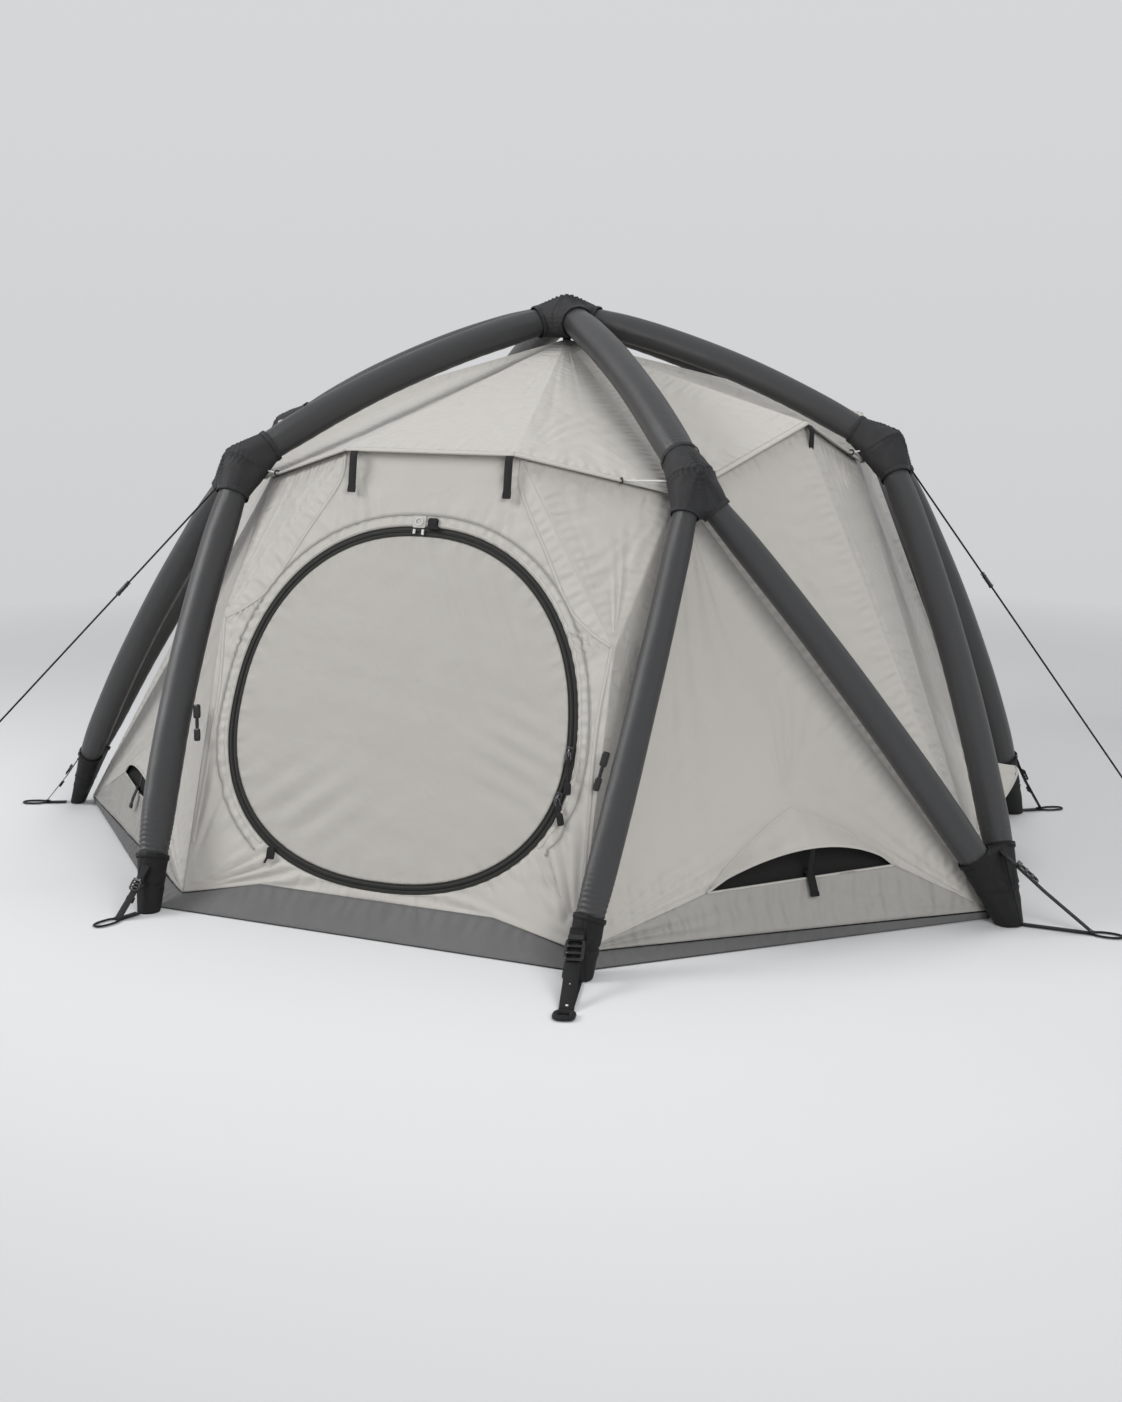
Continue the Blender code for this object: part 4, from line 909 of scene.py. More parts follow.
class Cover:
    """A taut sewn cover: the smooth skin around its hull, as a distance in every direction.

    Distance = (sum over hull planes of max(0, n.d / h) ^ power) ^ (-1 / power), less a groove at each seam.
    """

    def __init__(self, points, centre, pole, seams, power=44, gather=0.0009):
        self.centre, self.gather = centre, gather
        self.normals, self.heights = hull_planes(points, centre)
        self.pole = unit(pole)
        helper = UP if abs(self.pole[2]) < 0.9 else vec(1, 0, 0)
        self.east = unit(np.cross(helper, self.pole))
        self.north = np.cross(self.pole, self.east)
        self.power = power
        self.seams = [self.turn_of(seam) for seam in seams]

    def turn_of(self, direction):
        return float(np.arctan2(direction @ self.north, direction @ self.east))

    def direction(self, lean, turn):
        lean, turn = np.broadcast_arrays(lean, turn)
        return (self.pole * np.cos(lean)[..., None] + self.east * (np.sin(lean) * np.cos(turn))[..., None]
                + self.north * (np.sin(lean) * np.sin(turn))[..., None])

    def reach(self, lean, turn):
        way = self.direction(lean, turn)
        parts = np.maximum(way @ self.normals.T / self.heights, 0.0)
        distance = (parts ** self.power).sum(-1) ** (-1.0 / self.power)
        lean, turn = np.broadcast_arrays(lean, turn)
        across = distance * np.sin(lean)
        for seam in self.seams:
            off = (turn - seam + pi) % (2 * pi) - pi
            gap = np.abs(off) * across
            near = np.where(np.abs(off) < pi / 2, 1.0, 0.0) * np.exp(-((lean - 1.0) / 1.1) ** 4)
            distance = distance - near * 0.0016 * np.exp(-(gap / 0.0028) ** 2)
            distance = distance + near * 0.0011 * np.exp(-((gap - 0.007) / 0.004) ** 2)
            gathers = self.gather * np.exp(-(gap / 0.018) ** 2) * np.sin(lean * distance / 0.0022)
            distance = distance + near * gathers
        slack = np.sin(5 * turn + 3 * lean) * np.sin(4 * lean + 1.0) + 0.6 * np.sin(9 * turn - 5 * lean)
        return distance + 0.0011 * slack * np.sin(lean)

    def point(self, lean, turn, lift=0.0):
        way = self.direction(lean, turn)
        return self.centre + way * (self.reach(lean, turn) + lift)[..., None]

    def grid(self, rows=110, columns=168):
        lean = np.linspace(0, pi, rows)[:, None]
        turn = circle(columns)[None, :]
        return Grid(self.point(lean, turn), None, (False, True))

    def spot(self, way, lift=0.0):
        """The skin's point in a direction from the centre."""
        way = unit(way)
        lean = np.arccos(np.clip(way @ self.pole, -1, 1))
        return self.point(lean, self.turn_of(way), lift)

    def line(self, turn, low, high, offset=0.0, lift=0.0005, count=60):
        """A line down the cover at one turn, moved sideways by an offset."""
        lean = np.linspace(low, high, count)
        distance = self.reach(lean, np.full(count, turn))
        turns = turn + offset / np.maximum(distance * np.sin(lean), 0.006)
        points = self.point(lean, turns, lift)
        return points, unit(points - self.centre)

    def threads(self, high):
        """Twin rows of stitches beside every seam."""
        return [self.line(seam, 0.16, high, offset)
                for seam in self.seams for offset in (-SEAM_TWIN, SEAM_TWIN)]


def hem(beam, share, radius, width, flip, seed):
    """A hem band round a beam: a ring section carried round, a little gathered."""
    centre = beam.at(share)
    axis = beam.along(share) * (-1 if flip else 1)
    sides = 96
    turn = circle(sides)
    round_way = ring(vec(0, 0, 0), axis, 1.0, sides)
    wobble = 1 + 0.012 * np.sin(11 * turn + seed) + 0.008 * np.sin(23 * turn + 2 * seed)
    path = centre + round_way * (radius * wobble)[:, None]
    section = band_section(width, 0.0020)
    points = path[:, None] + axis * section[None, :, :1] + round_way[:, None] * section[None, :, 1:]
    return Grid(points, None, (True, True))


COVERS = {}


def build_covers():
    """Hub covers with their hems and double-stitched seams."""
    threads = []
    roofs = {hub: BEAMS["roof_beam_" + hub] for hub in HUBS}
    groups = [("apex_hub_cover", APEX, [(roof, COVER_REACH / roof.length) for roof in roofs.values()], UP)]
    for hub, point in HUBS.items():
        legs = [leg_beam(hub, foot) for leg_hub, foot in LEGS if leg_hub == hub]
        arms = [(roofs[hub], 1 - COVER_REACH / roofs[hub].length)]
        arms += [(leg, COVER_REACH / leg.length) for leg in legs]
        groups.append(("hub_cover_" + hub, point, arms, point - CORE))
    for index, (name, centre, arms, pole) in enumerate(groups):
        points, ways, hems = [], [], []
        for number, (beam, share) in enumerate(arms):
            flip = share > 0.5
            axis = beam.along(share) * (-1 if flip else 1)
            girth = (float(beam.radius(share)) + COVER_WALL) * COVER_MOUTH
            points += list(ring(beam.at(share), axis, girth))
            ways.append(unit(beam.at(share) - centre))
            inset = share + (HEM_INSET if flip else -HEM_INSET) / beam.length
            hems.append(hem(beam, inset, girth + HEM_LIFT, 0.013, flip, index + number))
        for z in np.linspace(-1, 1, 11):
            level = round_section((1 - z * z) ** 0.5, 14)
            points += list(centre + COVER_BALL * np.column_stack([level, np.full(len(level), z)]))
        cover = Cover(points, centre, pole, ways, HUB_COVER_POWER)
        order = sorted(cover.seams)
        cover.seams += [(first + second) / 2 for first, second in zip(order, order[1:] + [order[0] + 2 * pi])]
        COVERS[name] = cover
        piece("sewn_" + name, [cover.grid()], "cover_cloth", replaces=(name,), closed=True)
        piece("hems_of_" + name, hems, "cover_cloth", closed=True)
        threads += cover.threads(1.25)
    stitches("cover_stitching", threads, "dark_thread")


def build_boots():
    """Boots round the beams' feet, closed by a sole."""
    threads = []
    for index, (foot, point) in enumerate(FEET.items()):
        reach = DOUBLE_BOOT_REACH if foot in DOUBLE_FEET else SINGLE_BOOT_REACH
        points, hems, middle = [], [], []
        for leg in [leg_beam(hub, end) for hub, end in LEGS if end == foot]:
            share = 1 - reach / leg.length
            girth = (float(leg.radius(share)) + COVER_WALL) * BOOT_MOUTH
            points += list(ring(leg.at(share), -leg.along(share), girth))
            middle.append(leg.at(share))
            hems.append(hem(leg, share + HEM_INSET / leg.length, girth + HEM_LIFT, 0.012, True, index))
        sole = point * LEVEL
        points += list(ring(sole, UP, BOOT_SOLE.get(foot, PLAIN_SOLE), 32))
        centre = mix(sole, np.mean(middle, axis=0), 0.5)
        outward = unit(sole)
        tilt = np.cross(outward, UP)
        cover = Cover(points, centre, outward + UP * 0.15, [UP, -UP, tilt, -tilt], gather=0.00025)
        COVERS["boot_" + foot] = cover
        piece("sewn_boot_" + foot, [cover.grid(90, 140)], "boot_cloth",
              replaces=("boot_" + foot,), closed=True)
        piece("hems_of_boot_" + foot, hems, "boot_cloth", closed=True)
        threads += cover.threads(1.3)
    stitches("boot_stitching", threads, "dark_thread")


def creases(points, corner, toward, normal, spread, ribs, depth, reach, seed):
    """Folds that fan out of a corner, some deeper than others.

    depth * (r/reach) exp(1 - r/reach) * cos(pi * ribs * q + drift) * (1 - q^2), q the angle share.
    """
    toward = unit(toward - normal * (toward @ normal))
    side = np.cross(normal, toward)
    offset = points - corner
    x, y = offset @ toward, offset @ side
    distance = np.hypot(x, y)
    share = np.arctan2(y, x) / spread
    hump = (distance / reach) * np.exp(1 - distance / reach)
    drift = seed + 1.1 * np.sin(distance / reach * 2.1 + seed * 3)
    drift = drift + 1.6 * np.sin(2.3 * share * pi + 1.7 * seed)
    uneven = 0.5 + 0.5 * np.sin(4.1 * share + 2.6 * seed + distance / reach)
    return depth * hump * uneven * np.cos(pi * ribs * share + drift) * np.clip(1 - share ** 2, 0, 1)


def swell(points, scale, depth, seed):
    """Slow uneven slack: a few crossed sines of three sizes."""
    rng = np.random.default_rng(seed)
    total = np.zeros(points.shape[:-1])
    for size in (1.0, 1.7, 2.9):
        way = unit(rng.normal(size=3))
        other = unit(rng.normal(size=3))
        phase = rng.uniform(0, 2 * pi, 2)
        total += (np.sin(points @ way * (2 * pi * size / scale) + phase[0])
                  * np.sin(points @ other * (2 * pi * size / scale) + phase[1])) / size
    return total * depth


def weights(points, a, b, c):
    """Corner weights of points in a triangle, measured in its plane."""
    normal = np.cross(b - a, c - a)
    area = np.linalg.norm(normal)
    normal = normal / area
    first = np.cross(b - points, c - points) @ normal / area
    second = np.cross(c - points, a - points) @ normal / area
    return first, second, 1 - first - second


def middleness(points, a, b, c):
    """27 abc of the corner weights: 1 in a triangle's middle and 0 on its sides."""
    first, second, third = weights(points, a, b, c)
    return 27 * np.clip(first, 0, 1) * np.clip(second, 0, 1) * np.clip(third, 0, 1)


def draw_in(points, a, b, c, depth=0.07):
    """How far taut cloth is drawn in: a share of the facet's area, most in its middle."""
    return middleness(points, a, b, c) * depth * np.linalg.norm(np.cross(b - a, c - a)) / 2


def corner_folds(points, corners, normal, density, depth, seeds, reach=None):
    """Folds that fan out of a triangle's corners, over 0.30 of the shorter side if no reach is given."""
    total = 0.0
    for corner, seed in zip(corners, seeds):
        sides = [other - corner for other in corners if other is not corner]
        first, second = unit(sides[0]), unit(sides[1])
        spread = np.arccos(np.clip(first @ second, -1, 1)) / 2 * 1.05
        span = reach or 0.30 * min(np.linalg.norm(side) for side in sides)
        total = total + creases(points, corner, first + second, normal, spread, density * spread,
                                depth, span, seed)
    return total


def outward_normal(a, b, c):
    normal = unit(np.cross(b - a, c - a))
    return normal if normal @ ((a + b + c) / 3 - CORE) > 0 else -normal


def ruled(bottom, top, shares):
    """Surface of straight lines between two edges."""
    return mix(bottom[None], top[None], shares[:, None, None])


def facet(a, b, c, count, seed, folds, depth, seams=None):
    """A triangular cloth panel: drawn in, with folds fanning out of its three corners."""
    share = np.linspace(0, 1, count)
    bottom = mix(a, b, share[:, None])
    points = ruled(bottom, np.broadcast_to(c, bottom.shape), share)
    normal = outward_normal(a, b, c)
    edge = np.clip(middleness(points, a, b, c), 0, 1) ** EDGE_POWER
    seeds = [seed * 1.7 + index for index in range(3)]
    slack = corner_folds(points, (a, b, c), normal, 14, folds, seeds) + swell(points, 0.30, 0.0016, seed)
    lift = edge * slack - draw_in(points, a, b, c, depth)
    return Grid(points + normal * lift[..., None], None, outward=normal,
                seams=seams or ((a, b), (b, c), (c, a)))


def build_roof():
    """Roof canopy in fourteen gores, its rolled eave hem, its seams and its hub tabs."""
    top = APEX - UP * TOP_DROP
    rim = roof_rim()
    spots = list(rim.values())
    grids, hems, threads = [], [], []
    area = 0.0
    section = np.array([(0.004, 0.0026), (-0.004, 0.0030), (-0.013, 0.0016), (-0.013, 0.0003),
                        (-0.004, -0.0026), (0.004, -0.0032), (0.0062, 0.0)])
    for index, (first, second) in enumerate(zip(spots, spots[1:] + spots[:1])):
        grids.append(facet(first, second, top, 64, index + 3, 0.0026, 0.03,
                           ((first, second), (second, top), (first, top))))
        area += np.linalg.norm(np.cross(first - top, second - top)) / 2
        path = mix(first, second, np.linspace(0, 1, 40)[:, None])
        normal = outward_normal(first, second, top)
        away = np.cross(normal, unit(second - first))
        away = away if away @ (mix(first, second, 0.5) - top) > 0 else -away
        points = path[:, None] + away * section[None, :, :1] + normal * section[None, :, 1:]
        hems.append(Grid(capped(points), None, (False, True)))
        threads.append((path - away * 0.011 + normal * 0.0022, normal))
    roof = piece("roof_cloth", grids, "canopy_cloth", replaces=("roof_canopy",), thickness=CLOTH)
    edge = piece("eave_hem", hems, "canopy_cloth", closed=True)
    stitches("eave_stitching", threads, "pale_thread")
    tabs = []
    for hub, point in HUBS.items():
        corner = rim[hub]
        path = evenly(np.array([corner + unit(corner - point) * 0.004, mix(corner, point, 0.6)]), 8)
        side = unit(np.cross(unit(point - corner), UP))
        tabs.append(tube(path, band_section(*TAB_WEB), unit(np.cross(side, unit(point - corner)))))
    path = evenly(np.array([top - UP * 0.004, APEX - UP * 0.03]), 8)
    tabs.append(tube(path, band_section(*TAB_WEB), vec(0, 1, 0)))
    piece("roof_hanging_tabs", tabs, "webbing", closed=True)


def toward_core(point, inset):
    return point + unit(CORE - point) * inset


def eaves():
    """The outer corners of the roof's eaves, by name."""
    corners = {}
    for side, x, height in (("left", -1, 1.152), ("right", 1, 1.182)):
        for end, y in (("door", -1), ("rear", 1)):
            corners[end + "_" + side] = vec(x * EAVE_HALF, y * 0.85, EAVE_HEIGHT)
        for end, y in (("front", -1), ("rear", 1)):
            corners[side + "_" + end] = vec(x * SIDE_EAVE * cos(EAVE_TURN),
                                            y * SIDE_EAVE * sin(EAVE_TURN), height)
    return corners


def roof_rim():
    """Eave corners and hub corners in order round the roof."""
    out = eaves()
    hub = {name: toward_core(point, HUB_TUCK) for name, point in HUBS.items()}
    return {
        "front_left": hub["front_left"], "door_left": out["door_left"],
        "door_right": out["door_right"], "front_right": hub["front_right"],
        "right_front": out["right_front"], "right": hub["right"],
        "right_rear": out["right_rear"], "rear_right": hub["rear_right"],
        "rear_right_eave": out["rear_right"], "rear_left_eave": out["rear_left"],
        "rear_left": hub["rear_left"], "left_rear": out["left_rear"],
        "left": hub["left"], "left_front": out["left_front"],
    }


def faced(y_sign):
    """Turns a direction of the door's side into one of the side given by y_sign: -1 door, 1 rear."""
    return vec(1, -y_sign, 1)


def panel_point(x, rise, y_sign=-1, out=0.0):
    """A point of the sloping door panel (y_sign -1) or rear panel (1)."""
    x, rise = np.broadcast_arrays(np.asarray(x, float), np.asarray(rise, float))
    spot = vec(1, 0, 0) * x[..., None] + (PANEL_BASE + PANEL_UP * rise[..., None] + PANEL_OUT * out)
    return spot * faced(y_sign)


def panel_rise(height):
    return (height - 0.03) / PANEL_UP[2]


PANEL_HALF = [
    (0.32, panel_rise(0.0706)), (0.545, panel_rise(RIM_HEIGHT + 0.0006)),
    (0.54, panel_rise(0.691)), (0.232, panel_rise(EAVE_HEIGHT + 0.001)),
]
PANEL_RIM = np.array(PANEL_HALF + [(-x, y) for x, y in reversed(PANEL_HALF)])


def door_edge(turn, grow=0.0):
    """Door outline: a superellipse that narrows toward the top, as x and rise."""
    c, s = np.cos(turn), np.sin(turn)
    level, climb = signed_power(c, 2 / DOOR_EXPONENT), signed_power(s, 2 / DOOR_EXPONENT)
    x = level * (DOOR_HALF_WIDTH + grow) * (1 - DOOR_TAPER * climb)
    return x, DOOR_RISE + climb * (DOOR_HALF_HEIGHT + grow)


def rim_along(turn):
    """Where rays from the door's centre meet the panel's rim."""
    dx, dy = np.cos(turn), np.sin(turn)
    best = np.full(np.shape(turn), np.inf)
    for (ax, ay), (bx, by) in zip(PANEL_RIM, np.roll(PANEL_RIM, -1, axis=0)):
        ex, ey = bx - ax, by - ay
        cross = dx * ey - dy * ex
        cross = np.where(np.abs(cross) < 1e-9, 1e-9, cross)
        t = (ax * ey - (ay - DOOR_RISE) * ex) / cross
        s = (ax * dy - (ay - DOOR_RISE) * dx) / cross
        good = (t > 0) & (s >= -1e-6) & (s <= 1 + 1e-6)
        best = np.where(good & (t < best), t, best)
    return best * dx, DOOR_RISE + best * dy


def polar_turns(columns):
    """Turns whose rays reach the panel's corners exactly."""
    marks = np.sort(np.arctan2(PANEL_RIM[:, 1] - DOOR_RISE, PANEL_RIM[:, 0]) % (2 * pi))
    even = circle(columns)
    even = even[np.min(np.abs(even[:, None] - marks[None]), axis=1) > pi / columns * 0.6]
    return np.sort(np.concatenate([even, marks]))


def panel_lift(points, y_sign, seed):
    """Relief of a flat panel: folds out of its four upper corners and its lower corners."""
    normal = PANEL_OUT * faced(y_sign)
    lift = swell(points, 0.34, 0.0016, seed)
    spots = [
        (0.54, panel_rise(0.691), (-1.0, -0.25), 0.0058),
        (0.232, panel_rise(EAVE_HEIGHT), (-0.35, -1.0), 0.0040),
        (0.545, panel_rise(RIM_HEIGHT), (-0.75, 0.8), 0.0095),
    ]
    for index, (x, rise, (dx, dy), depth) in enumerate(spots):
        for sign in (-1, 1):
            corner = panel_point(x * sign, rise, y_sign)
            toward = (vec(1, 0, 0) * dx * sign + PANEL_UP * dy) * faced(y_sign)
            lift = lift + creases(points, corner, toward, normal, 0.85, 9 + index, depth,
                                  0.13 + 0.03 * index, seed + index + sign)
    return lift


def outline_turn(c, s):
    """The outline's own turn of a direction, given as its cosine and sine on the unit superellipse."""
    return np.arctan2(signed_power(s, DOOR_EXPONENT / 2), signed_power(c, DOOR_EXPONENT / 2))


def ring_gap(points):
    """Distance from the door's outline and the run along it, as a seam."""
    local = points - PANEL_BASE
    x = local[..., 0]
    rise = local @ PANEL_UP - DOOR_RISE
    turn = np.arctan2(rise / DOOR_HALF_HEIGHT, x / DOOR_HALF_WIDTH)
    ex, ey = door_edge(outline_turn(x / DOOR_HALF_WIDTH, rise / DOOR_HALF_HEIGHT))
    gap = np.abs(np.hypot(x, rise) - np.hypot(ex, ey - DOOR_RISE))
    return gap, ((turn + 1e-6) % (2 * pi)) / (2 * pi) * DOOR_ROUND


def close_ring_gap(points):
    """The flap's seam field: a longer distance, so that its gathers stay near the zip."""
    gap, run = ring_gap(points)
    return gap * 2.4, run


SURFACES = {}


def on_panel(x, rise, y_sign, lift):
    """Points on the folded surface of the door panel or rear panel, a little lifted."""
    out = PANEL_OUT * faced(y_sign)
    flat = panel_point(x, rise, y_sign)
    return drape(flat, SURFACES["door" if y_sign < 0 else "rear"], out) + out * lift


def round_door(turn, grow, lift):
    """A line on the door panel that follows the door's outline at a distance."""
    return on_panel(*door_edge(turn, grow), -1, lift)


def build_panels():
    """Door panel round its opening, and the plain rear panel."""
    turns = polar_turns(300)
    rim_x, rim_rise = rim_along(turns)
    corner = [panel_point(x, y) for x, y in PANEL_HALF]
    left = [panel_point(-x, y) for x, y in PANEL_HALF]
    hole_turn = outline_turn(np.cos(turns), np.sin(turns))
    hole_x, hole_rise = door_edge(hole_turn, ZIP_WIDTH / 2 + ZIP_GAP)
    rows = np.linspace(0, 1, 34) ** 0.9
    points = ruled(panel_point(hole_x, hole_rise), panel_point(rim_x, rim_rise), rows)
    gap, run = ring_gap(points)
    edge = np.clip(rows[:, None] * 6, 0, 1) * np.clip((1 - rows[:, None]) * 5, 0, 1)
    lift = panel_lift(points, -1, 5) * edge
    round_share = 2 * pi * run / DOOR_ROUND
    gather = 0.0015 * np.sin(92 * round_share + 2.2 * np.sin(8 * round_share))
    lift = lift + gather * np.exp(-((gap - 0.028) / 0.022) ** 2)
    points = points + PANEL_OUT * lift[..., None]
    SURFACES["door"] = points
    local = points - PANEL_BASE
    uv = closed_map(np.stack([local[..., 0], local @ PANEL_UP], -1))
    seams = (ring_gap, (corner[2], corner[3]), (left[2], left[3]))
    grid = Grid(points, uv, (False, True), PANEL_OUT, seams)
    panel = piece("door_panel_cloth", [grid], "canopy_cloth", replaces=("door_panel",), thickness=CLOTH)
    rows = np.linspace(0, 1, 60)
    turns = polar_turns(220)
    rim_x, rim_rise = rim_along(turns)
    centre = np.broadcast_to(panel_point(0.0, DOOR_RISE, 1), (len(turns), 3))
    points = ruled(centre, panel_point(rim_x, rim_rise, 1), rows)
    edge = np.clip((1 - rows[:, None]) * 7, 0, 1)
    out = PANEL_OUT * faced(1)
    points = points + out * (panel_lift(points, 1, 11) * edge)[..., None]
    SURFACES["rear"] = points
    uv = closed_map(points[..., [0, 2]])
    corner = [panel_point(x, y, 1) for x, y in PANEL_HALF]
    seams = ((corner[2], corner[3]), (corner[1], corner[2]), (corner[0], corner[1]))
    grid = Grid(points, uv, (False, True), out, seams)
    rear = piece("rear_panel_cloth", [grid], "canopy_cloth", replaces=("rear_panel",), thickness=CLOTH)
    build_panel_seams()


SEAM_LINE = [(0.243, 1.135), (0.252, 1.06), (0.333, 0.920), (0.410, 0.790), (0.470, 0.735), (0.533, 0.700)]
FOOT_SEAM = [(0.533, 0.700), (0.520, 0.50), (0.528, 0.30), (0.536, 0.12)]


FINE_STITCH = {"pitch": 0.0042, "length": 0.0028, "radius": 0.0004}


def build_panel_seams():
    """Flat felled seams from the eaves to the shoulders and down beside the legs, with twin stitching."""
    welts, threads = [], []
    for y_sign in (-1, 1):
        out = PANEL_OUT * faced(y_sign)
        for line in (SEAM_LINE, FOOT_SEAM):
            for sign in (-1, 1):
                flat = smooth_path([(x * sign, rise, 0.0) for x, rise in line], 90)
                path = on_panel(flat[:, 0], flat[:, 1], y_sign, 0.0012)
                section = [(0.0055, -0.0006), (0.0045, 0.0006), (-0.0045, 0.0006), (-0.0055, -0.0006)]
                welts.append(tube(path, section, out))
                side = unit(np.cross(unit(np.gradient(path, axis=0)), out))
                for offset in (-0.0036, 0.0036):
                    threads.append((path + side * offset + out * 0.0008, out))
    piece("panel_seam_welts", welts, "canopy_cloth", closed=True)
    stitches("panel_seam_stitching", threads, "binding", **FINE_STITCH)


def foot_corner(foot, inset, height):
    level = foot * LEVEL
    return level - unit(level) * inset + UP * height


def wall_corners():
    corners = {name: foot_corner(point, 0.05, RIM_HEIGHT) for name, point in FEET.items()}
    for end, y in (("door", -1), ("rear", 1)):
        for side, x in (("left", -1), ("right", 1)):
            corners[end + "_" + side] = panel_point(x * 0.545, panel_rise(RIM_HEIGHT), y)
    return corners


class Vent:
    """One leg triangle with a hooded vent: its plane axes, the slit's sill and the arched lip."""

    def __init__(self, top, near, far, out):
        self.top, self.near, self.far, self.out = top, near, far, out
        self.base = far - near
        self.along = unit(self.base)
        self.normal = outward_normal(near, far, top)
        self.up = np.cross(self.normal, self.along)
        self.up = self.up if self.up[2] > 0 else -self.up
        self.width = float(np.linalg.norm(self.base))

    def flat(self, x, y):
        return self.near + self.along * np.asarray(x)[..., None] + self.up * np.asarray(y)[..., None]

    def sill(self, share):
        """In-plane x and y of the sill at shares of its length."""
        x = self.width * mix(HOOD_NEAR[0], HOOD_FAR[0], share)
        return x, mix(HOOD_NEAR[1], HOOD_FAR[1], share)

    def lip_rise(self, share, sill_rise):
        """Height of the hood's lip over the triangle's base."""
        arch = share * (1 - share)
        return sill_rise + HOOD_END * np.clip(12 * arch, 0, 1) + HOOD_ARCH * 4 * arch

    def hood(self, x, y):
        """How far the hood stands out: out * 4s(1-s), fading upward to the peak."""
        share = (x / self.width - HOOD_NEAR[0]) / (HOOD_FAR[0] - HOOD_NEAR[0])
        share = np.clip(share, 0, 1)
        arch = 4 * share * (1 - share)
        lip = self.lip_rise(share, self.sill(share)[1])
        peak_share = (HOOD_PEAK[0] - HOOD_NEAR[0]) / (HOOD_FAR[0] - HOOD_NEAR[0])
        slope = np.where(share < peak_share, share / peak_share, (1 - share) / (1 - peak_share))
        height = np.maximum((HOOD_PEAK[1] - 0.187) * 1.15 * slope, 1e-4)
        above = np.clip((y - lip) / height, 0, 1)
        pleat = 0.0022 * np.cos(2 * pi * share * 8) * np.exp(-np.clip(y - lip, 0, 1) / 0.05) * arch
        return self.out * arch * (1 - above) ** 1.25 + pleat * (above < 1)

    def lip_line(self, count=90, low=0.0, high=1.0):
        share = np.linspace(low, high, count)
        x, y = self.sill(share)
        y = self.lip_rise(share, y)
        return self.flat(x, y) + self.normal * (self.out * 4 * share * (1 - share))[:, None]

    def upper(self, seed):
        columns, rows = 132, 84
        share = np.linspace(0, 1, columns)
        first, last = HOOD_NEAR[0], HOOD_FAR[0]
        s = np.clip((share - first) / (last - first), 0, 1)
        sx, sy = self.sill(s)
        x = np.where((share > first) & (share < last), sx, share * self.width)
        y = np.where(share < first, share / first * HOOD_NEAR[1],
                     np.where(share > last, (1 - share) / (1 - last) * HOOD_FAR[1], self.lip_rise(s, sy)))
        bottom = self.flat(x, y)
        rise = np.linspace(0, 1, rows) ** 1.7
        points = ruled(bottom, np.broadcast_to(self.top, bottom.shape), rise)
        offset = points - self.near
        px, py = offset @ self.along, offset @ self.up
        peak = self.flat(HOOD_PEAK[0] * self.width, HOOD_PEAK[1])
        lift = self.hood(px, py)
        lift = lift - draw_in(points, self.near, peak, self.top) - draw_in(points, self.far, self.top, peak)
        corners = (self.near, self.far, self.top)
        edge = np.clip(middleness(points, *corners), 0, 1) ** EDGE_POWER
        slack = creases(points, peak, self.top - peak, self.normal, 0.95, 11, 0.0045, 0.10, seed)
        seeds = [seed + 2.3 * index for index in range(3)]
        slack = slack + corner_folds(points, corners, self.normal, 18, 0.0048, seeds, 0.22)
        lift = lift + edge * (slack + swell(points, 0.3, 0.0016, seed))
        points = points + self.normal * lift[..., None]
        self.points_upper = points
        seams = ((self.near, self.top), (self.far, self.top), (self.flat(0, 0.1), self.flat(1, 0.1)))
        return Grid(points, None, outward=self.normal, seams=seams)

    def lower(self, seed):
        columns, rows = 120, 16
        share = np.linspace(0, 1, columns)
        bottom = mix(self.near, self.far, share[:, None])
        first, last = HOOD_NEAR[0], HOOD_FAR[0]
        y = np.interp(share, [0, first, last, 1], [0, HOOD_NEAR[1], HOOD_FAR[1], 0])
        top = self.flat(share * self.width, y)
        points = ruled(bottom, top, np.linspace(0, 1, rows))
        bow = np.interp(share, [0, first, (first + last) / 2, last, 1], [0, 0, SILL_BOW, 0, 0])
        lift = bow * np.linspace(0, 1, rows)[:, None] ** 2
        fade = np.clip(np.minimum(share, 1 - share) * 8, 0, 1)
        slack = swell(points, 0.2, 0.0013, seed + 50) + swell(points, 0.07, 0.0007, seed + 51)
        for number, (corner, way) in enumerate(((self.near, self.along), (self.far, -self.along))):
            slack = slack + creases(points, corner, self.up * 0.3 + way, self.normal, 0.5, 7,
                                    0.0040, 0.14, seed + number)
        lift = lift + fade * slack
        points = points + self.normal * lift[..., None]
        seams = ((self.near, self.far), (top[0], top[1]), (self.flat(0, 0.12), self.flat(1, 0.12)))
        return Grid(points, None, outward=self.normal, seams=seams)

    def piping(self):
        """Piped creases from the hood's peak down to both ends of the slit, following the hood."""
        peak = (HOOD_PEAK[0] * self.width, HOOD_PEAK[1] - 0.002)
        made = []
        for end in (HOOD_NEAR, HOOD_FAR):
            share = np.linspace(0.0, 0.97, 70)
            x = mix(peak[0], end[0] * self.width, share)
            y = mix(peak[1], end[1] + 0.004, share) + 0.012 * np.sin(pi * share)
            path = drape(self.flat(x, y), self.points_upper, self.normal) + self.normal * 0.0008
            size = 0.0026 * np.clip(np.minimum(share, 0.97 - share) * 12 + 0.35, 0, 1)
            made.append(tube(path, round_section(1.0, 8, 0.8), self.normal, scale=size))
        return made

    def net(self):
        """Netting behind the slit, on the wall's own plane a little inside."""
        share = np.linspace(0.02, 0.98, 60)
        x, y = self.sill(share)
        top = y + 0.02 + 0.13 * 4 * share * (1 - share)
        points = ruled(self.flat(x, y - 0.006), self.flat(x, top), np.linspace(0, 1, 14))
        return Grid(points - self.normal * 0.006, None, outward=self.normal)


def mirror(point):
    return point * vec(-1, 1, 1)


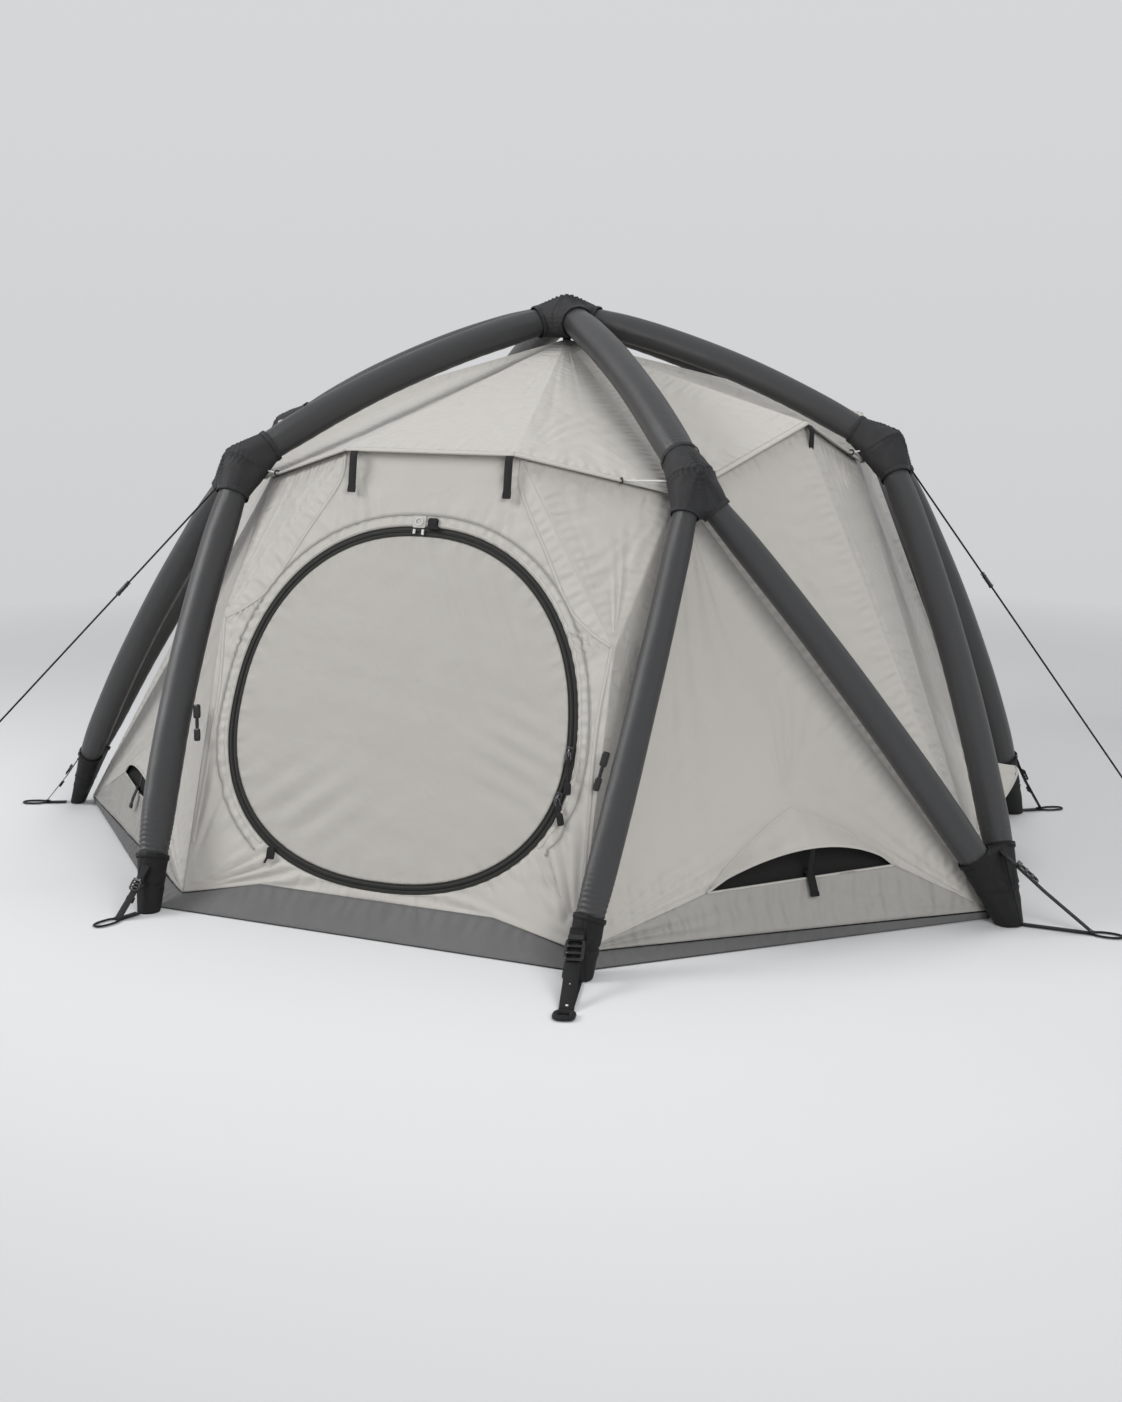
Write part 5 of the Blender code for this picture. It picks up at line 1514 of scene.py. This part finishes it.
RIGHT_TRIANGLES = (
    ("front_right", "door_right", "side_front_right"),
    ("right", "side_front_right", "side_rear_right"),
    ("rear_right", "side_rear_right", "rear_right"),
)


def build_walls():
    """Both side walls with hooded vents, hems, netting and the vents' tie straps."""
    corner = wall_corners()
    out = eaves()
    tuck = {name: toward_core(HUBS[name], HUB_TUCK) for name in ("front_right", "right", "rear_right")}
    tuck.update({name: out[name] for name in ("right_front", "right_rear")})
    for name, point in tuck.items():
        tuck[name] = point - unit(point * LEVEL) * EAVE_TUCK + UP * 0.002
    for side, flip in (("right", lambda p: p), ("left", mirror)):
        grids, sills, hems, nets, straps = [], [], [], [], []
        seed = 20 if side == "right" else 60
        for number, (hub, near, far) in enumerate(RIGHT_TRIANGLES):
            stands_out = HOODS.get((side, hub), HOOD_OUT)
            vent = Vent(flip(tuck[hub]), flip(corner[near]), flip(corner[far]), stands_out)
            grids.append(vent.upper(seed + number))
            sills.append(vent.lower(seed + number))
            lip = vent.lip_line()
            hems.append(tube(lip, round_section(0.0034, 10, 0.8), vent.normal))
            share = np.linspace(0, 1, 60)
            x, y = vent.sill(share)
            bow = np.interp(share, [0, 0.5, 1], [0, SILL_BOW, 0])
            path = vent.flat(x, y) + vent.normal * bow[:, None]
            hems.append(tube(path, round_section(0.0028, 10, 0.8), vent.normal))
            hems += vent.piping()
            nets.append(vent.net())
            straps += vent_strap(vent)
        front, rear = flip(corner["side_front_right"]), flip(corner["side_rear_right"])
        point = {name: flip(value) for name, value in tuck.items()}
        if side == "left":
            for name in ("right_front", "right_rear"):
                point[name] = point[name] + UP * (out["left_front"][2] - out["right_front"][2])
        plain = [
            (point["front_right"], point["right_front"], front),
            (point["right_front"], point["right"], front),
            (point["right"], point["right_rear"], rear),
            (point["right_rear"], point["rear_right"], rear),
        ]
        for hub, end, y_sign in (("front_right", "door_right", -1), ("rear_right", "rear_right", 1)):
            sign = 1 if side == "right" else -1
            rim = [panel_point(sign * x, y, y_sign) for x, y in PANEL_HALF[2:]]
            plain += [(point[hub], rim[0], flip(corner[end])), (point[hub], rim[1], rim[0])]
        for index, (a, b, c) in enumerate(plain):
            size = 60 if index < 4 else 36
            grids.append(facet(a, b, c, size, seed + 7 + index, 0.0042, 0.045 if index < 2 else 0.07))
        wall = piece("side_cloth_" + side, grids, "canopy_cloth",
                     replaces=("side_wall_" + side,), thickness=CLOTH)
        # The sills below the slits take the darker copy of the canopy cloth: painted shade under the hoods.
        sill = piece("vent_sills_" + side, sills, "painted_shade_sill_cloth", thickness=CLOTH)
        piece("vent_hems_" + side, hems, "canopy_cloth", closed=True)
        piece("vent_netting_" + side, nets, "netting", thickness=0.0006)
        piece("vent_straps_" + side, straps, "webbing", closed=True)


def vent_strap(vent):
    """A short strap with a toggle in the middle of each vent, from the hood down over the sill."""
    share = 0.52
    x, y = vent.sill(share)
    lip = vent.flat(x, y + HOOD_END + HOOD_ARCH * 0.998) + vent.normal * (vent.out * 0.9)
    low = vent.flat(x + 0.010, y - 0.040) + vent.normal * 0.020
    over = vent.flat(x + 0.004, y + 0.004) + vent.normal * 0.020
    path = smooth_path([lip + vent.up * 0.004 - vent.normal * 0.006,
                        mix(lip, over, 0.6) - vent.normal * 0.008, over], 24)
    upper = tube(path, band_section(0.013, 0.002), vent.normal)
    path = smooth_path([over + vent.up * 0.010, mix(over, low, 0.5) + vent.normal * 0.002, low], 20)
    strap = tube(path, band_section(0.021, 0.0024), vent.normal)
    tip = box_at(low, vent.along, vent.up, (0.0225, 0.012, 0.0055), 0.25)
    middle = over + vent.up * 0.012
    bar = np.array([middle - vent.along * 0.012, middle + vent.along * 0.012])
    toggle = tube(evenly(bar, 6), round_section(0.0045, 12), vent.normal)
    return [upper, strap, tip, toggle]


def build_floor():
    """Groundsheet tray: the floor, the sloping skirt, and the aprons under both panels."""
    thick = 0.004
    hem_points = [foot_corner(FEET[name], 0.055 if name in DOUBLE_FEET else 0.035, thick / 2)
                  for name in FOOT_ORDER]
    corner = wall_corners()
    tops = [corner[name] - UP * thick for name in FOOT_ORDER]
    middle = vec(0, 0, thick / 2)
    grids = []
    share = np.linspace(0, 1, 60)
    for index, name in enumerate(FOOT_ORDER):
        other = (index + 1) % len(FOOT_ORDER)
        a, b = hem_points[index], hem_points[other]
        edge = mix(a, b, share[:, None])
        floor = ruled(np.broadcast_to(middle, edge.shape), edge, np.linspace(0, 1, 40))
        inner = np.clip((1 - np.linspace(0, 1, 40)[:, None]) * 6, 0, 1)
        fade = np.clip(np.minimum(share, 1 - share) * 9, 0, 1) * inner
        lift = np.abs(swell(floor, 0.3, 0.0012, index)) * fade
        grids.append(Grid(floor + UP * lift[..., None], floor[..., :2], outward=UP))
        if (name, FOOT_ORDER[other]) in (("door_left", "door_right"), ("rear_right", "rear_left")):
            y_sign = -1 if name == "door_left" else 1
            first = panel_point(0.32 * y_sign, panel_rise(0.07), y_sign)
            second = panel_point(-0.32 * y_sign, panel_rise(0.07), y_sign)
            bends = np.array([tops[index], first, second, tops[other]])
            top = at_lengths(share, [0.0, 0.17, 0.83, 1.0], bends)
        else:
            top = mix(tops[index], tops[other], share[:, None])
        rows = np.linspace(0, 1, 12)
        skirt = ruled(edge, top, rows)
        out = unit(vec(*skirt.mean((0, 1))[:2], 0.0)) + UP * 0.4
        fade = np.sin(pi * rows)[:, None] * np.clip(np.minimum(share, 1 - share) * 12, 0, 1)
        ripple = 0.0016 * np.sin(2 * pi * share * np.linalg.norm(b - a) / 0.11 + index) * fade
        skirt = skirt + unit(out) * ripple[..., None]
        grids.append(Grid(skirt, None, outward=out, seams=((tops[index], tops[other]), (a, b))))
    sheet = piece("floor_cloth_tray", grids, "floor_cloth",
                  replaces=("groundsheet_floor", "groundsheet_skirt"), thickness=thick - 0.0006)


def door_ring(offset_out, section, name, finish, replaces=()):
    """A section carried round the door's outline, grown by an offset; its map is across and along it."""
    path = panel_point(*door_edge(circle(420), offset_out))
    path = evenly(np.concatenate([path, path[:1]]), 421)[:-1]
    points = sweep(path, section, PANEL_OUT, wrap=True)
    across = np.asarray(section, float)[:, 0]
    middle = points.mean(1)
    uv = crossed(np.append(across, across[0]), travelled(np.concatenate([middle, middle[:1]])))
    piece(name, [Grid(points, uv, (True, True))], finish, replaces=replaces, closed=True)


def patch(first, second, middle, size):
    """A bell over two coordinates: exp(-(a / wa)^2 - (b / wb)^2) about its middle."""
    return np.exp(-((first - middle[0]) / size[0]) ** 2 - ((second - middle[1]) / size[1]) ** 2)


def build_flap():
    """Door flap: gathers along the zip and three patches of slanting folds."""
    edge_line = panel_point(*door_edge(circle(300), -ZIP_WIDTH / 2 - ZIP_GAP))
    rows = np.linspace(0, 1, 70) ** 0.8
    centre = np.broadcast_to(panel_point(0.0, DOOR_RISE), edge_line.shape)
    points = ruled(centre, edge_line, rows)
    gap, run = ring_gap(points)
    x = points[..., 0]
    y = (points - PANEL_BASE) @ PANEL_UP - DOOR_RISE
    round_share = 2 * pi * run / DOOR_ROUND
    lift = 0.0007 * np.sin(66 * round_share + 2.5 * np.sin(4 * round_share)) * np.exp(-gap / 0.03)
    slant = x * 0.90 + y * 0.43
    uneven = 0.6 + 0.4 * np.sin(2 * pi * slant / 0.17 + 1.0)
    slanting = uneven * np.sin(2 * pi * slant / 0.046 + 5 * y)
    lift += 0.0052 * slanting * patch(slant, y, (0.27, 0.25), (0.075, 0.17))
    other = x * 0.62 - y * 0.78
    lift += 0.0034 * np.sin(2 * pi * other / 0.075 + 2) * patch(x, y, (-0.24, -0.27), (0.16, 0.10))
    level = y + 0.35 * x
    lift += 0.0026 * np.sin(2 * pi * level / 0.060 + 4 * x) * patch(x, y, (0.33, -0.08), (0.09, 0.12))
    lift += swell(points, 0.42, 0.0016, 3) + 0.004 * (1 - rows[:, None] ** 2)
    fade = np.clip((1 - rows[:, None]) * 9, 0, 1)
    uv = closed_map(np.stack([x, y], -1))
    points = points + PANEL_OUT * (lift * fade)[..., None]
    grid = Grid(points, uv, (False, True), PANEL_OUT, (close_ring_gap,))
    # The flap takes the darker copy of the canopy cloth: painted shade.
    flap = piece("door_flap_cloth", [grid], "painted_shade_flap_cloth", "door_flap",
                 replaces=("door_flap",), thickness=CLOTH)


def build_door():
    """Zip tape, coil and edges, and the binding, facing and stitching round them."""
    build_flap()
    tape = [(-0.012, 0.0), (-0.0115, 0.0009), (-0.004, 0.0012), (0.004, 0.0012),
            (0.0115, 0.0009), (0.012, 0.0), (0.0115, -0.0009), (-0.0115, -0.0009)]
    door_ring(0.0, tape, "zip_tape_ring", "zip_tape", replaces=("door_zip",))
    coil = round_section(0.0032, 10, 0.5) + vec(0, 0.0012)
    door_ring(0.0, coil, "zip_coil_ring", "zip_coil")
    lip = round_section(0.0013, 8, 11 / 13) + vec(0, 0.0013)
    for offset, label in ((0.0105, "outer"), (-0.0105, "inner")):
        door_ring(offset, lip, "zip_edge_" + label, "zip_tape")
    turn = np.linspace(radians(-38), radians(232), 420)
    facing = [(0.0048, -0.0006), (0.0040, 0.0005), (-0.0040, 0.0005), (-0.0048, -0.0006)]
    for name, section, grow, lift, finish in (
        ("door_binding", round_section(0.0030, 8, 13 / 30), 0.042, 0.0012, "binding"),
        ("door_facing", facing, 0.0195, 0.0009, "canopy_cloth"),
    ):
        path = evenly(round_door(turn, grow, lift), 420)
        piece(name, [tube(path, section, PANEL_OUT)], finish, closed=True)
    threads = [(round_door(turn, offset, 0.0013), PANEL_OUT) for offset in (0.0163, 0.0226, 0.0365, 0.0475)]
    stitches("door_stitching", threads, "binding", **FINE_STITCH)


def box_at(centre, x_way, y_way, size, roundness):
    """A rounded block of three sizes: each cosine and sine of an ellipsoid raised to the roundness."""
    x_way, y_way = unit(x_way), unit(y_way)
    z_way = np.cross(x_way, y_way)
    lean = np.linspace(-pi / 2, pi / 2, 18)[:, None]
    turn = circle(36)[None, :]
    girth = signed_power(np.cos(lean), roundness)
    x = girth * signed_power(np.cos(turn), roundness) * size[0] / 2
    y = girth * signed_power(np.sin(turn), roundness) * size[1] / 2
    z = signed_power(np.sin(lean), roundness) * np.ones_like(turn) * size[2] / 2
    points = centre + x[..., None] * x_way + y[..., None] * y_way + z[..., None] * z_way
    return Grid(points, None, (False, True))


def loop_of(centre, x_way, y_way, half_x, half_y, section, exponent=2.0):
    """A closed ring in a plane: a section carried along a superellipse."""
    x_way, y_way = unit(x_way), unit(y_way)
    turn = circle(64)
    path = (centre + x_way * (half_x * signed_power(np.cos(turn), 2 / exponent))[:, None]
            + y_way * (half_y * signed_power(np.sin(turn), 2 / exponent))[:, None])
    return Grid(sweep(path, section, np.cross(x_way, y_way), wrap=True), None, (True, True))


def rod(first, last, radius, normal=UP, flat=1.0):
    """A straight round bar between two points."""
    return tube(evenly(np.array([first, last]), 6), round_section(radius, 12, flat), normal)


def build_sliders():
    """Zip sliders: bridge, body and a pull with its corded tab, each on its own body."""
    for name, rest, hang, length in (("zip_slider_upper", radians(-7), 0.10, 0.070),
                                     ("zip_slider_lower", radians(-21), 0.30, 0.036)):
        seat = panel_point(*door_edge(rest), -1, 0.0033)
        along = unit(panel_point(*door_edge(rest + 0.01), -1, 0.0033) - seat)
        side = np.cross(along, PANEL_OUT)
        at = placer(seat, along, PANEL_OUT)
        bridge = smooth_path([at(0.011, 0.005), at(0.006, 0.0088), at(-0.006, 0.0088), at(-0.010, 0.005)], 20)
        body = [box_at(at(0, 0.0016), side, along, (0.0165, 0.030, 0.0034), 0.35),
                box_at(at(0.001, 0.0050), side, along, (0.0140, 0.025, 0.0030), 0.35),
                tube(bridge, band_section(0.005, 0.0016), PANEL_OUT)]
        piece(name + "_metal", body, "slider_metal", name, replaces=(name,), closed=True)
        down = unit(vec(hang, 0, 0) - PANEL_UP)
        level = np.cross(down, PANEL_OUT)
        at = placer(at(0, 0.0100), down, PANEL_OUT)
        pull = [loop_of(at(0.011), level, down, 0.0058, 0.0125, round_section(0.0014, 8), exponent=3.0)]
        piece(name + "_pull_ring", pull, "slider_metal", name, closed=True)
        tail = smooth_path([at(0.020), at(0.044, 0.0015), at(0.020 + length)], 26)
        tab = [tube(tail, band_section(0.0095, 0.0030), PANEL_OUT),
               box_at(tail[-1] - down * 0.006, level, down, (0.0165, 0.030, 0.0072), 0.45),
               box_at(at(0.024), level, down, (0.0145, 0.014, 0.0066), 0.45)]
        piece(name + "_pull_tab", tab, "webbing", name, closed=True)


def build_door_trim():
    """Zip ends: the pale loop and dark toggle at the top, and the stop tab low on the left."""
    side = vec(1, 0, 0)
    at = placer(panel_point(*door_edge(radians(94), 0.006), -1, 0.004), side, PANEL_UP, PANEL_OUT)

    def block(spot, size, roundness):
        return box_at(at(*spot), side, PANEL_UP, size, roundness)

    toggle = [block((0.069, 0.016), (0.027, 0.026, 0.011), 0.4),
              block((0.072, 0.004, 0.003), (0.033, 0.009, 0.008), 0.5)]
    piece("zip_garage_toggle", toggle, "webbing", closed=True)
    cloth = [block((0.030, 0.019, -0.002), (0.034, 0.030, 0.0026), 0.15)]
    piece("zip_garage_patch", cloth, "canopy_cloth", closed=True)
    loops = [loop_of(at(0.030, 0.019, 0.001), side, PANEL_UP, 0.010, 0.009, round_section(0.0016, 8)),
             block((0.020, -0.006, 0.001), (0.006, 0.012, 0.005), 0.4),
             block((0.044, -0.007, 0.001), (0.006, 0.014, 0.005), 0.4)]
    piece("zip_end_loops", loops, "white_cord", closed=True)
    low = panel_point(-0.301, 0.122, -1, 0.006)
    at = placer(low, side, PANEL_UP, PANEL_OUT)
    tab = [box_at(low, PANEL_UP, side, (0.030, 0.022, 0.006), 0.35),
           rod(at(-0.004), at(-0.012, -0.026, 0.004), 0.0028)]
    piece("zip_stop_tab", tab, "webbing", closed=True)


def ladder_lock(centre, along, normal, width, length):
    """A ladder-lock buckle: a rounded frame with two bars and a lip."""
    along = unit(along)
    side = unit(np.cross(along, normal))
    thick = min(length * 0.085, 0.0042)
    section = round_section(thick, 10, 0.85)
    grids = [loop_of(centre, side, along, width / 2 - thick, length / 2 - thick, section, exponent=6.0)]
    half = side * (width / 2 - thick)
    for shift in (-0.13, 0.17):
        middle = centre + along * (shift * length) + normal * thick * 0.5
        grids.append(rod(middle - half, middle + half, thick * 0.95, normal, 0.8))
    lip = centre - along * (length / 2 - 0.001) + normal * thick * 1.1
    grids.append(box_at(lip, side, along, (width * 0.76, length * 0.22, thick * 1.1), 0.3))
    return grids


# Peg straps: turn in degrees, where the two webbings join and how far the loop reaches, from the foot
STRAPS = {
    "door_left": (-105.5, 0.085, 0.165), "door_right": (-73.5, 0.19, 0.27),
    "side_front_right": (0.0, 0.19, 0.27), "side_rear_right": (35.0, 0.085, 0.165),
    "rear_right": (73.5, 0.085, 0.165), "rear_left": (106.5, 0.085, 0.165),
    "side_rear_left": (145.0, 0.085, 0.165), "side_front_left": (-153.8, 0.085, 0.165),
}
ROLLED_STRAP = "door_right"
LONG_STRAP = 0.1
WEB_THICK = 0.0022
WEB_REST = 0.0035


def build_straps():
    """Peg straps: two webbings that join, a ladder-lock buckle, a keeper and a flat peg loop."""
    rivets = []
    for foot, (turn, junction, reach) in STRAPS.items():
        out = vec(cos(radians(turn)), sin(radians(turn)), 0.0)
        side = np.cross(UP, out)
        at = placer(FEET[foot] * LEVEL, out, UP)
        upward = unit(sum(-leg_beam(hub, end).along(1.0) for hub, end in LEGS if end == foot))
        boot = DOUBLE_BOOT_REACH if foot in DOUBLE_FEET else SINGLE_BOOT_REACH
        top = 0.03 + boot * 0.90 * upward[2]
        lean = upward @ out / upward[2]
        long, rolled = junction > LONG_STRAP, foot == ROLLED_STRAP
        width = 0.034 if rolled else (0.022 if long else 0.024)
        cover = COVERS["boot_" + foot]
        anchor = cover.spot(at(lean * top + 0.045, top) - cover.centre, WEB_THICK)
        meeting = at(junction, WEB_REST)
        along = unit(meeting - anchor)
        normal = unit(np.cross(side, along))
        normal = normal if normal[2] > 0 else -normal
        upper = evenly(np.array([anchor, mix(anchor, meeting, 0.5), meeting + out * 0.01]), 30)
        under = evenly(np.array([at(0.034, WEB_REST), at(reach - 0.072, WEB_REST)]), 30)
        grids = [tube(upper, band_section(width, WEB_THICK), normal),
                 tube(under, band_section(width * 0.92, WEB_THICK), UP)]
        if rolled:
            grids.append(loop_of(at(reach - 0.0315, 0.0061), out, side, 0.0170, 0.0185,
                                 round_section(0.0074, 10, 0.8), exponent=3.5))
        else:
            grids.append(loop_of(at(reach - 0.0375, 0.0036), out, side, 0.0341, 0.0166,
                                 round_section(0.0034, 10, 0.8), exponent=2.3))
        grids.append(box_at(at(reach - 0.074, 0.0046), out, side, (0.016, width * 0.95, 0.0065), 0.3))
        middle = mix(anchor, meeting, 0.30 if long else 0.40)
        grids.append(box_at(mix(anchor, middle, 0.30), along, side, (0.026, width * 1.02, 0.0046), 0.25))
        if long:
            for share in (0.60, 0.74):
                spot = mix(middle, meeting, share) + normal * 0.0021
                rivets.append(box_at(spot, along, side, (0.0035, 0.005, 0.0024), 0.7))
            rivets.append(box_at(at(reach - 0.080, 0.0092), out, side, (0.007, 0.007, 0.004), 0.8))
        else:
            keeper = mix(middle, meeting, 0.42)
            grids.append(box_at(keeper, along, side, (0.016, width + 0.002, 0.0072), 0.22))
        piece("webbing_of_peg_strap_" + foot, grids, "webbing", replaces=("peg_strap_" + foot,), closed=True)
        buckle = ladder_lock(middle + normal * 0.0046, along, normal, width + 0.012, 0.064 if long else 0.030)
        piece("buckle_of_" + foot, buckle, "black_plastic", closed=True)
        lines = []
        for sign in (-1, 1):
            edge = side * (sign * width * 0.42)
            line = np.array([anchor + edge, anchor + along * 0.022 - edge]) + normal * 0.0026
            lines.append((evenly(line, 12), normal))
        stitches("strap_stitching_" + foot, lines, "dark_thread", pitch=0.004, length=0.0026, radius=0.0004)
    piece("strap_rivets", rivets, "white_cord", closed=True)


# Guy lines: the start in the hub, the end on the ground, and the adjuster's share of the way
GUYS = {
    "left": (HUBS["front_left"] + UP * 0.014, vec(-1.362, -1.522, 0.0025), 0.307),
    "right": (HUBS["right"] + UP * 0.043, vec(1.787, 0.0, 0.0025), 0.338),
}
GUY_RADIUS = 0.0025
GUY_SKIN = 0.085


def build_guys():
    """Guy lines as braided tubes with a ground knot, and their adjusters on their own bodies."""
    for side, (start, end, share) in GUYS.items():
        way = unit(end - start)
        first = start + way * GUY_SKIN
        path = evenly(np.array([first, end]), 60)
        across = unit(np.cross(way, UP))
        normal = np.cross(across, way)
        points = capped(sweep(path, round_section(GUY_RADIUS, 12), normal))
        long = length_of(path)
        uv = crossed(np.arange(13) * 2 * pi / 12 * GUY_RADIUS,
                     np.concatenate([[0.0], np.linspace(0, long, 60), [long]]))
        line = piece("guy_cord_" + side, [Grid(points, uv, (False, True))], "cord",
                     replaces=("guy_line_" + side,), closed=True)
        at = placer(start + (end - start) * share, way)
        body = "guy_adjuster_" + side
        runner = [box_at(at(0.0), across, way, (0.016, 0.036, 0.009), 0.45),
                  box_at(at(0.014), across, way, (0.0178, 0.010, 0.0105), 0.5),
                  box_at(at(-0.015), across, way, (0.011, 0.009, 0.0100), 0.5)]
        adjuster = piece("guy_runner_" + side, runner, "black_plastic", body, replaces=(body,), closed=True)
        wraps = [loop_of(at(-0.026 + k * 0.0042), across, normal, 0.0044, 0.0044, round_section(0.0016, 8))
                 for k in range(3)]
        wrap = piece("guy_whipping_" + side, wraps, "cord", body, closed=True)
        at = placer(end, way)
        knot = [loop_of(at(-0.018 - k * 0.004), across, normal, 0.0042, 0.0042, round_section(0.0018, 8))
                for k in range(4)]
        tie = piece("guy_knot_" + side, knot, "cord", closed=True)


# Each hub's two eaves, tied to it by a short cord
EAVE_TIES = (
    ("front_left", "door_left", "left_front"), ("front_right", "door_right", "right_front"),
    ("right", "right_front", "right_rear"), ("rear_right", "rear_right_eave", "right_rear"),
    ("rear_left", "rear_left_eave", "left_rear"), ("left", "left_front", "left_rear"),
)
# Blocks of a leg clip: how far down it, its sizes and its roundness
CLIP_BLOCKS = (
    (0.0, (0.017, 0.036, 0.012), 0.35),
    (-0.030, (0.008, 0.034, 0.007), 0.5),
    (-0.060, (0.016, 0.032, 0.009), 0.4),
)


def build_trim():
    """Tie-back straps under the eaves, leg clips, eave cords, and the eyelets on the hubs."""
    straps, dark, cords = [], [], []
    rim = roof_rim()
    for x, y_sign in ((-0.205, -1), (0.222, -1), (-0.2, 1), (0.2, 1)):
        up, out = PANEL_UP * faced(y_sign), PANEL_OUT * faced(y_sign)
        at = placer(panel_point(x, panel_rise(EAVE_HEIGHT - 0.006), y_sign, 0.020), out, up)
        path = smooth_path([at(-0.004), at(0.006, -0.012), at(0.001, -0.055), at(-0.006, -0.098)], 30)
        straps.append(tube(path, band_section(0.021, 0.0024), out))
        straps.append(box_at(path[-1] + out * 0.001, vec(1, 0, 0), up, (0.0215, 0.018, 0.0052), 0.22))
    for name in ("right_front", "right_rear", "left_front", "left_rear"):
        out = unit(rim[name] * LEVEL)
        side = np.cross(UP, out)
        at = placer(rim[name], out, UP, side)
        path = smooth_path([at(-0.006, -0.002), at(0.012, -0.016), at(0.012, -0.055, 0.002),
                            at(0.010, -0.092, 0.004)], 30)
        straps.append(tube(path, band_section(0.020, 0.0024), out))
        straps.append(box_at(path[-1], side, path[-1] - path[-3], (0.0245, 0.016, 0.0048), 0.22))
    piece("tie_back_straps", straps, "webbing", closed=True)
    for hub, first, second in EAVE_TIES:
        corner = rim[hub]
        out = unit(corner * LEVEL)
        for eave in (first, second):
            bare = hub == "front_right" and eave == first
            begin = corner + unit(rim[eave] - corner) * (0.155 if bare else 0.078) + out * 0.006
            stop = COVERS["hub_cover_" + hub].spot(begin - HUBS[hub], -0.002)
            cords.append(rod(begin, stop if bare else mix(begin, stop, 0.7), 0.0022))
            dark.append(loop_of(begin, out, UP, 0.0065, 0.0065, round_section(0.0022, 8)))
    piece("eave_cords", cords, "white_cord", closed=True)
    for x_sign in (-1, 1):
        for y_sign in (-1, 1):
            spot = panel_point(x_sign * 0.560, 0.452 if x_sign < 0 else 0.438, y_sign, 0.026)
            lean = unit(PANEL_UP * faced(y_sign) + vec(0.18 * x_sign, 0, 0))
            across = np.cross(lean, PANEL_OUT * faced(y_sign))
            for shift, size, roundness in CLIP_BLOCKS:
                dark.append(box_at(spot + lean * shift, across, lean, size, roundness))
    for hub, point in HUBS.items():
        pole = unit(point - CORE)
        level = np.cross(pole, UP)
        spot = COVERS["hub_cover_" + hub].spot(pole, 0.001)
        dark.append(box_at(spot, level, np.cross(pole, level), (0.011, 0.011, 0.009), 0.9))
    piece("clips_and_eyelets", dark, "black_plastic", closed=True)


def dress_solids():
    """The valve and its cap keep their solids' shape and get the detailed material."""
    for node in ("inflation_valve", "valve_cap"):
        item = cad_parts[node]
        item.data.materials.clear()
        item.data.materials.append(FINISHES["black_plastic"].material)


def build_stage():
    """A pale floor that fades out by its alpha into the pale world around it."""
    mesh = bpy.data.meshes.new("studio_floor")
    corners = [(x * FLOOR_REACH, y * FLOOR_REACH, -0.0005) for x, y in ((-1, -1), (1, -1), (1, 1), (-1, 1))]
    mesh.from_pydata(corners, [], [(0, 1, 2, 3)])
    floor = bpy.data.objects.new("studio_floor", mesh)
    bpy.context.scene.collection.objects.link(floor)
    paint = Finish("studio_floor", FLOOR_COLOUR, 1.0, Specular_IOR_Level=0.0)
    x, y = paint.parts(paint.place())[:2]
    distance = (x * x + y * y) ** 0.5
    paint.tint(1.0 - distance.below(2.7, 1.6), FLOOR_FAR_COLOUR)
    feed(paint.tree, paint.shader.inputs["Alpha"], distance.below(3.6, 2.6))
    mesh.materials.append(paint.material)


def build_world():
    """A soft even light, seen as a sky of its own that pales upward."""
    world = bpy.data.worlds.new("studio")
    bpy.context.scene.world = world
    world.use_nodes = True
    back = world.node_tree.nodes["Background"]
    back.inputs["Color"].default_value = WORLD_COLOUR
    back.inputs["Strength"].default_value = WORLD_LIGHT
    sky = Nodes(world.node_tree)
    rise = (sky.parts(sky.node("TexCoord"))[2] * 1.2 + 0.8).math("MINIMUM", 1.0).math("MAXIMUM", 0.0)
    pale = sky.node("Mix", {"data_type": "RGBA"}, 2, _0=rise, _6=SKY_LOW, _7=SKY_HIGH)
    seen = sky.node("Background", None, 0, Color=pale, Strength=1.0)
    camera, glossy, through = [sky.node("LightPath", None, "Is " + kind + " Ray")
                               for kind in ("Camera", "Glossy", "Transmission")]
    direct = camera.math("MAXIMUM", glossy).math("MAXIMUM", through)
    shown = sky.node("MixShader", None, 0, _0=direct, _1=Value(sky.tree, back.outputs[0]), _2=seen)
    feed(sky.tree, sky.tree.nodes["World Output"].inputs["Surface"], shown)


def build_lamps():
    """Round area lamps, each turned to its aim; only the key light shows in highlights."""
    for name, place, aim, size, power in LAMPS:
        lamp = bpy.data.lights.new(name, "AREA")
        lamp.shape = "DISK"
        lamp.size = size
        lamp.energy = power
        item = bpy.data.objects.new(name, lamp)
        item.location = place
        item.visible_glossy = name == "key"
        way = vec(*aim) - vec(*place)
        item.rotation_euler = (float(np.arctan2(np.hypot(way[0], way[1]), -way[2])), 0.0,
                               float(np.arctan2(way[1], way[0]) - pi / 2))
        bpy.context.scene.collection.objects.link(item)


def build_camera():
    """The photograph's camera."""
    data = bpy.data.cameras.new("photo_camera")
    data.sensor_fit = "HORIZONTAL"
    data.sensor_width = SENSOR_WIDTH
    data.lens = PHOTO_FOCAL * SENSOR_WIDTH / PHOTO_WIDTH
    item = bpy.data.objects.new("photo_camera", data)
    item.location = VIEW_PLACE
    item.rotation_euler = (radians(90 - VIEW_DROP), 0.0, VIEW_TURN)
    bpy.context.scene.collection.objects.link(item)
    bpy.context.scene.camera = item


build_camera()
build_guys()
build_beams()
build_covers()
build_boots()
build_roof()
build_panels()
build_walls()
build_floor()
build_door()
build_sliders()
build_door_trim()
build_straps()
build_trim()
dress_solids()
build_stage()
build_world()
build_lamps()
bpy.context.scene.view_settings.view_transform = "Standard"
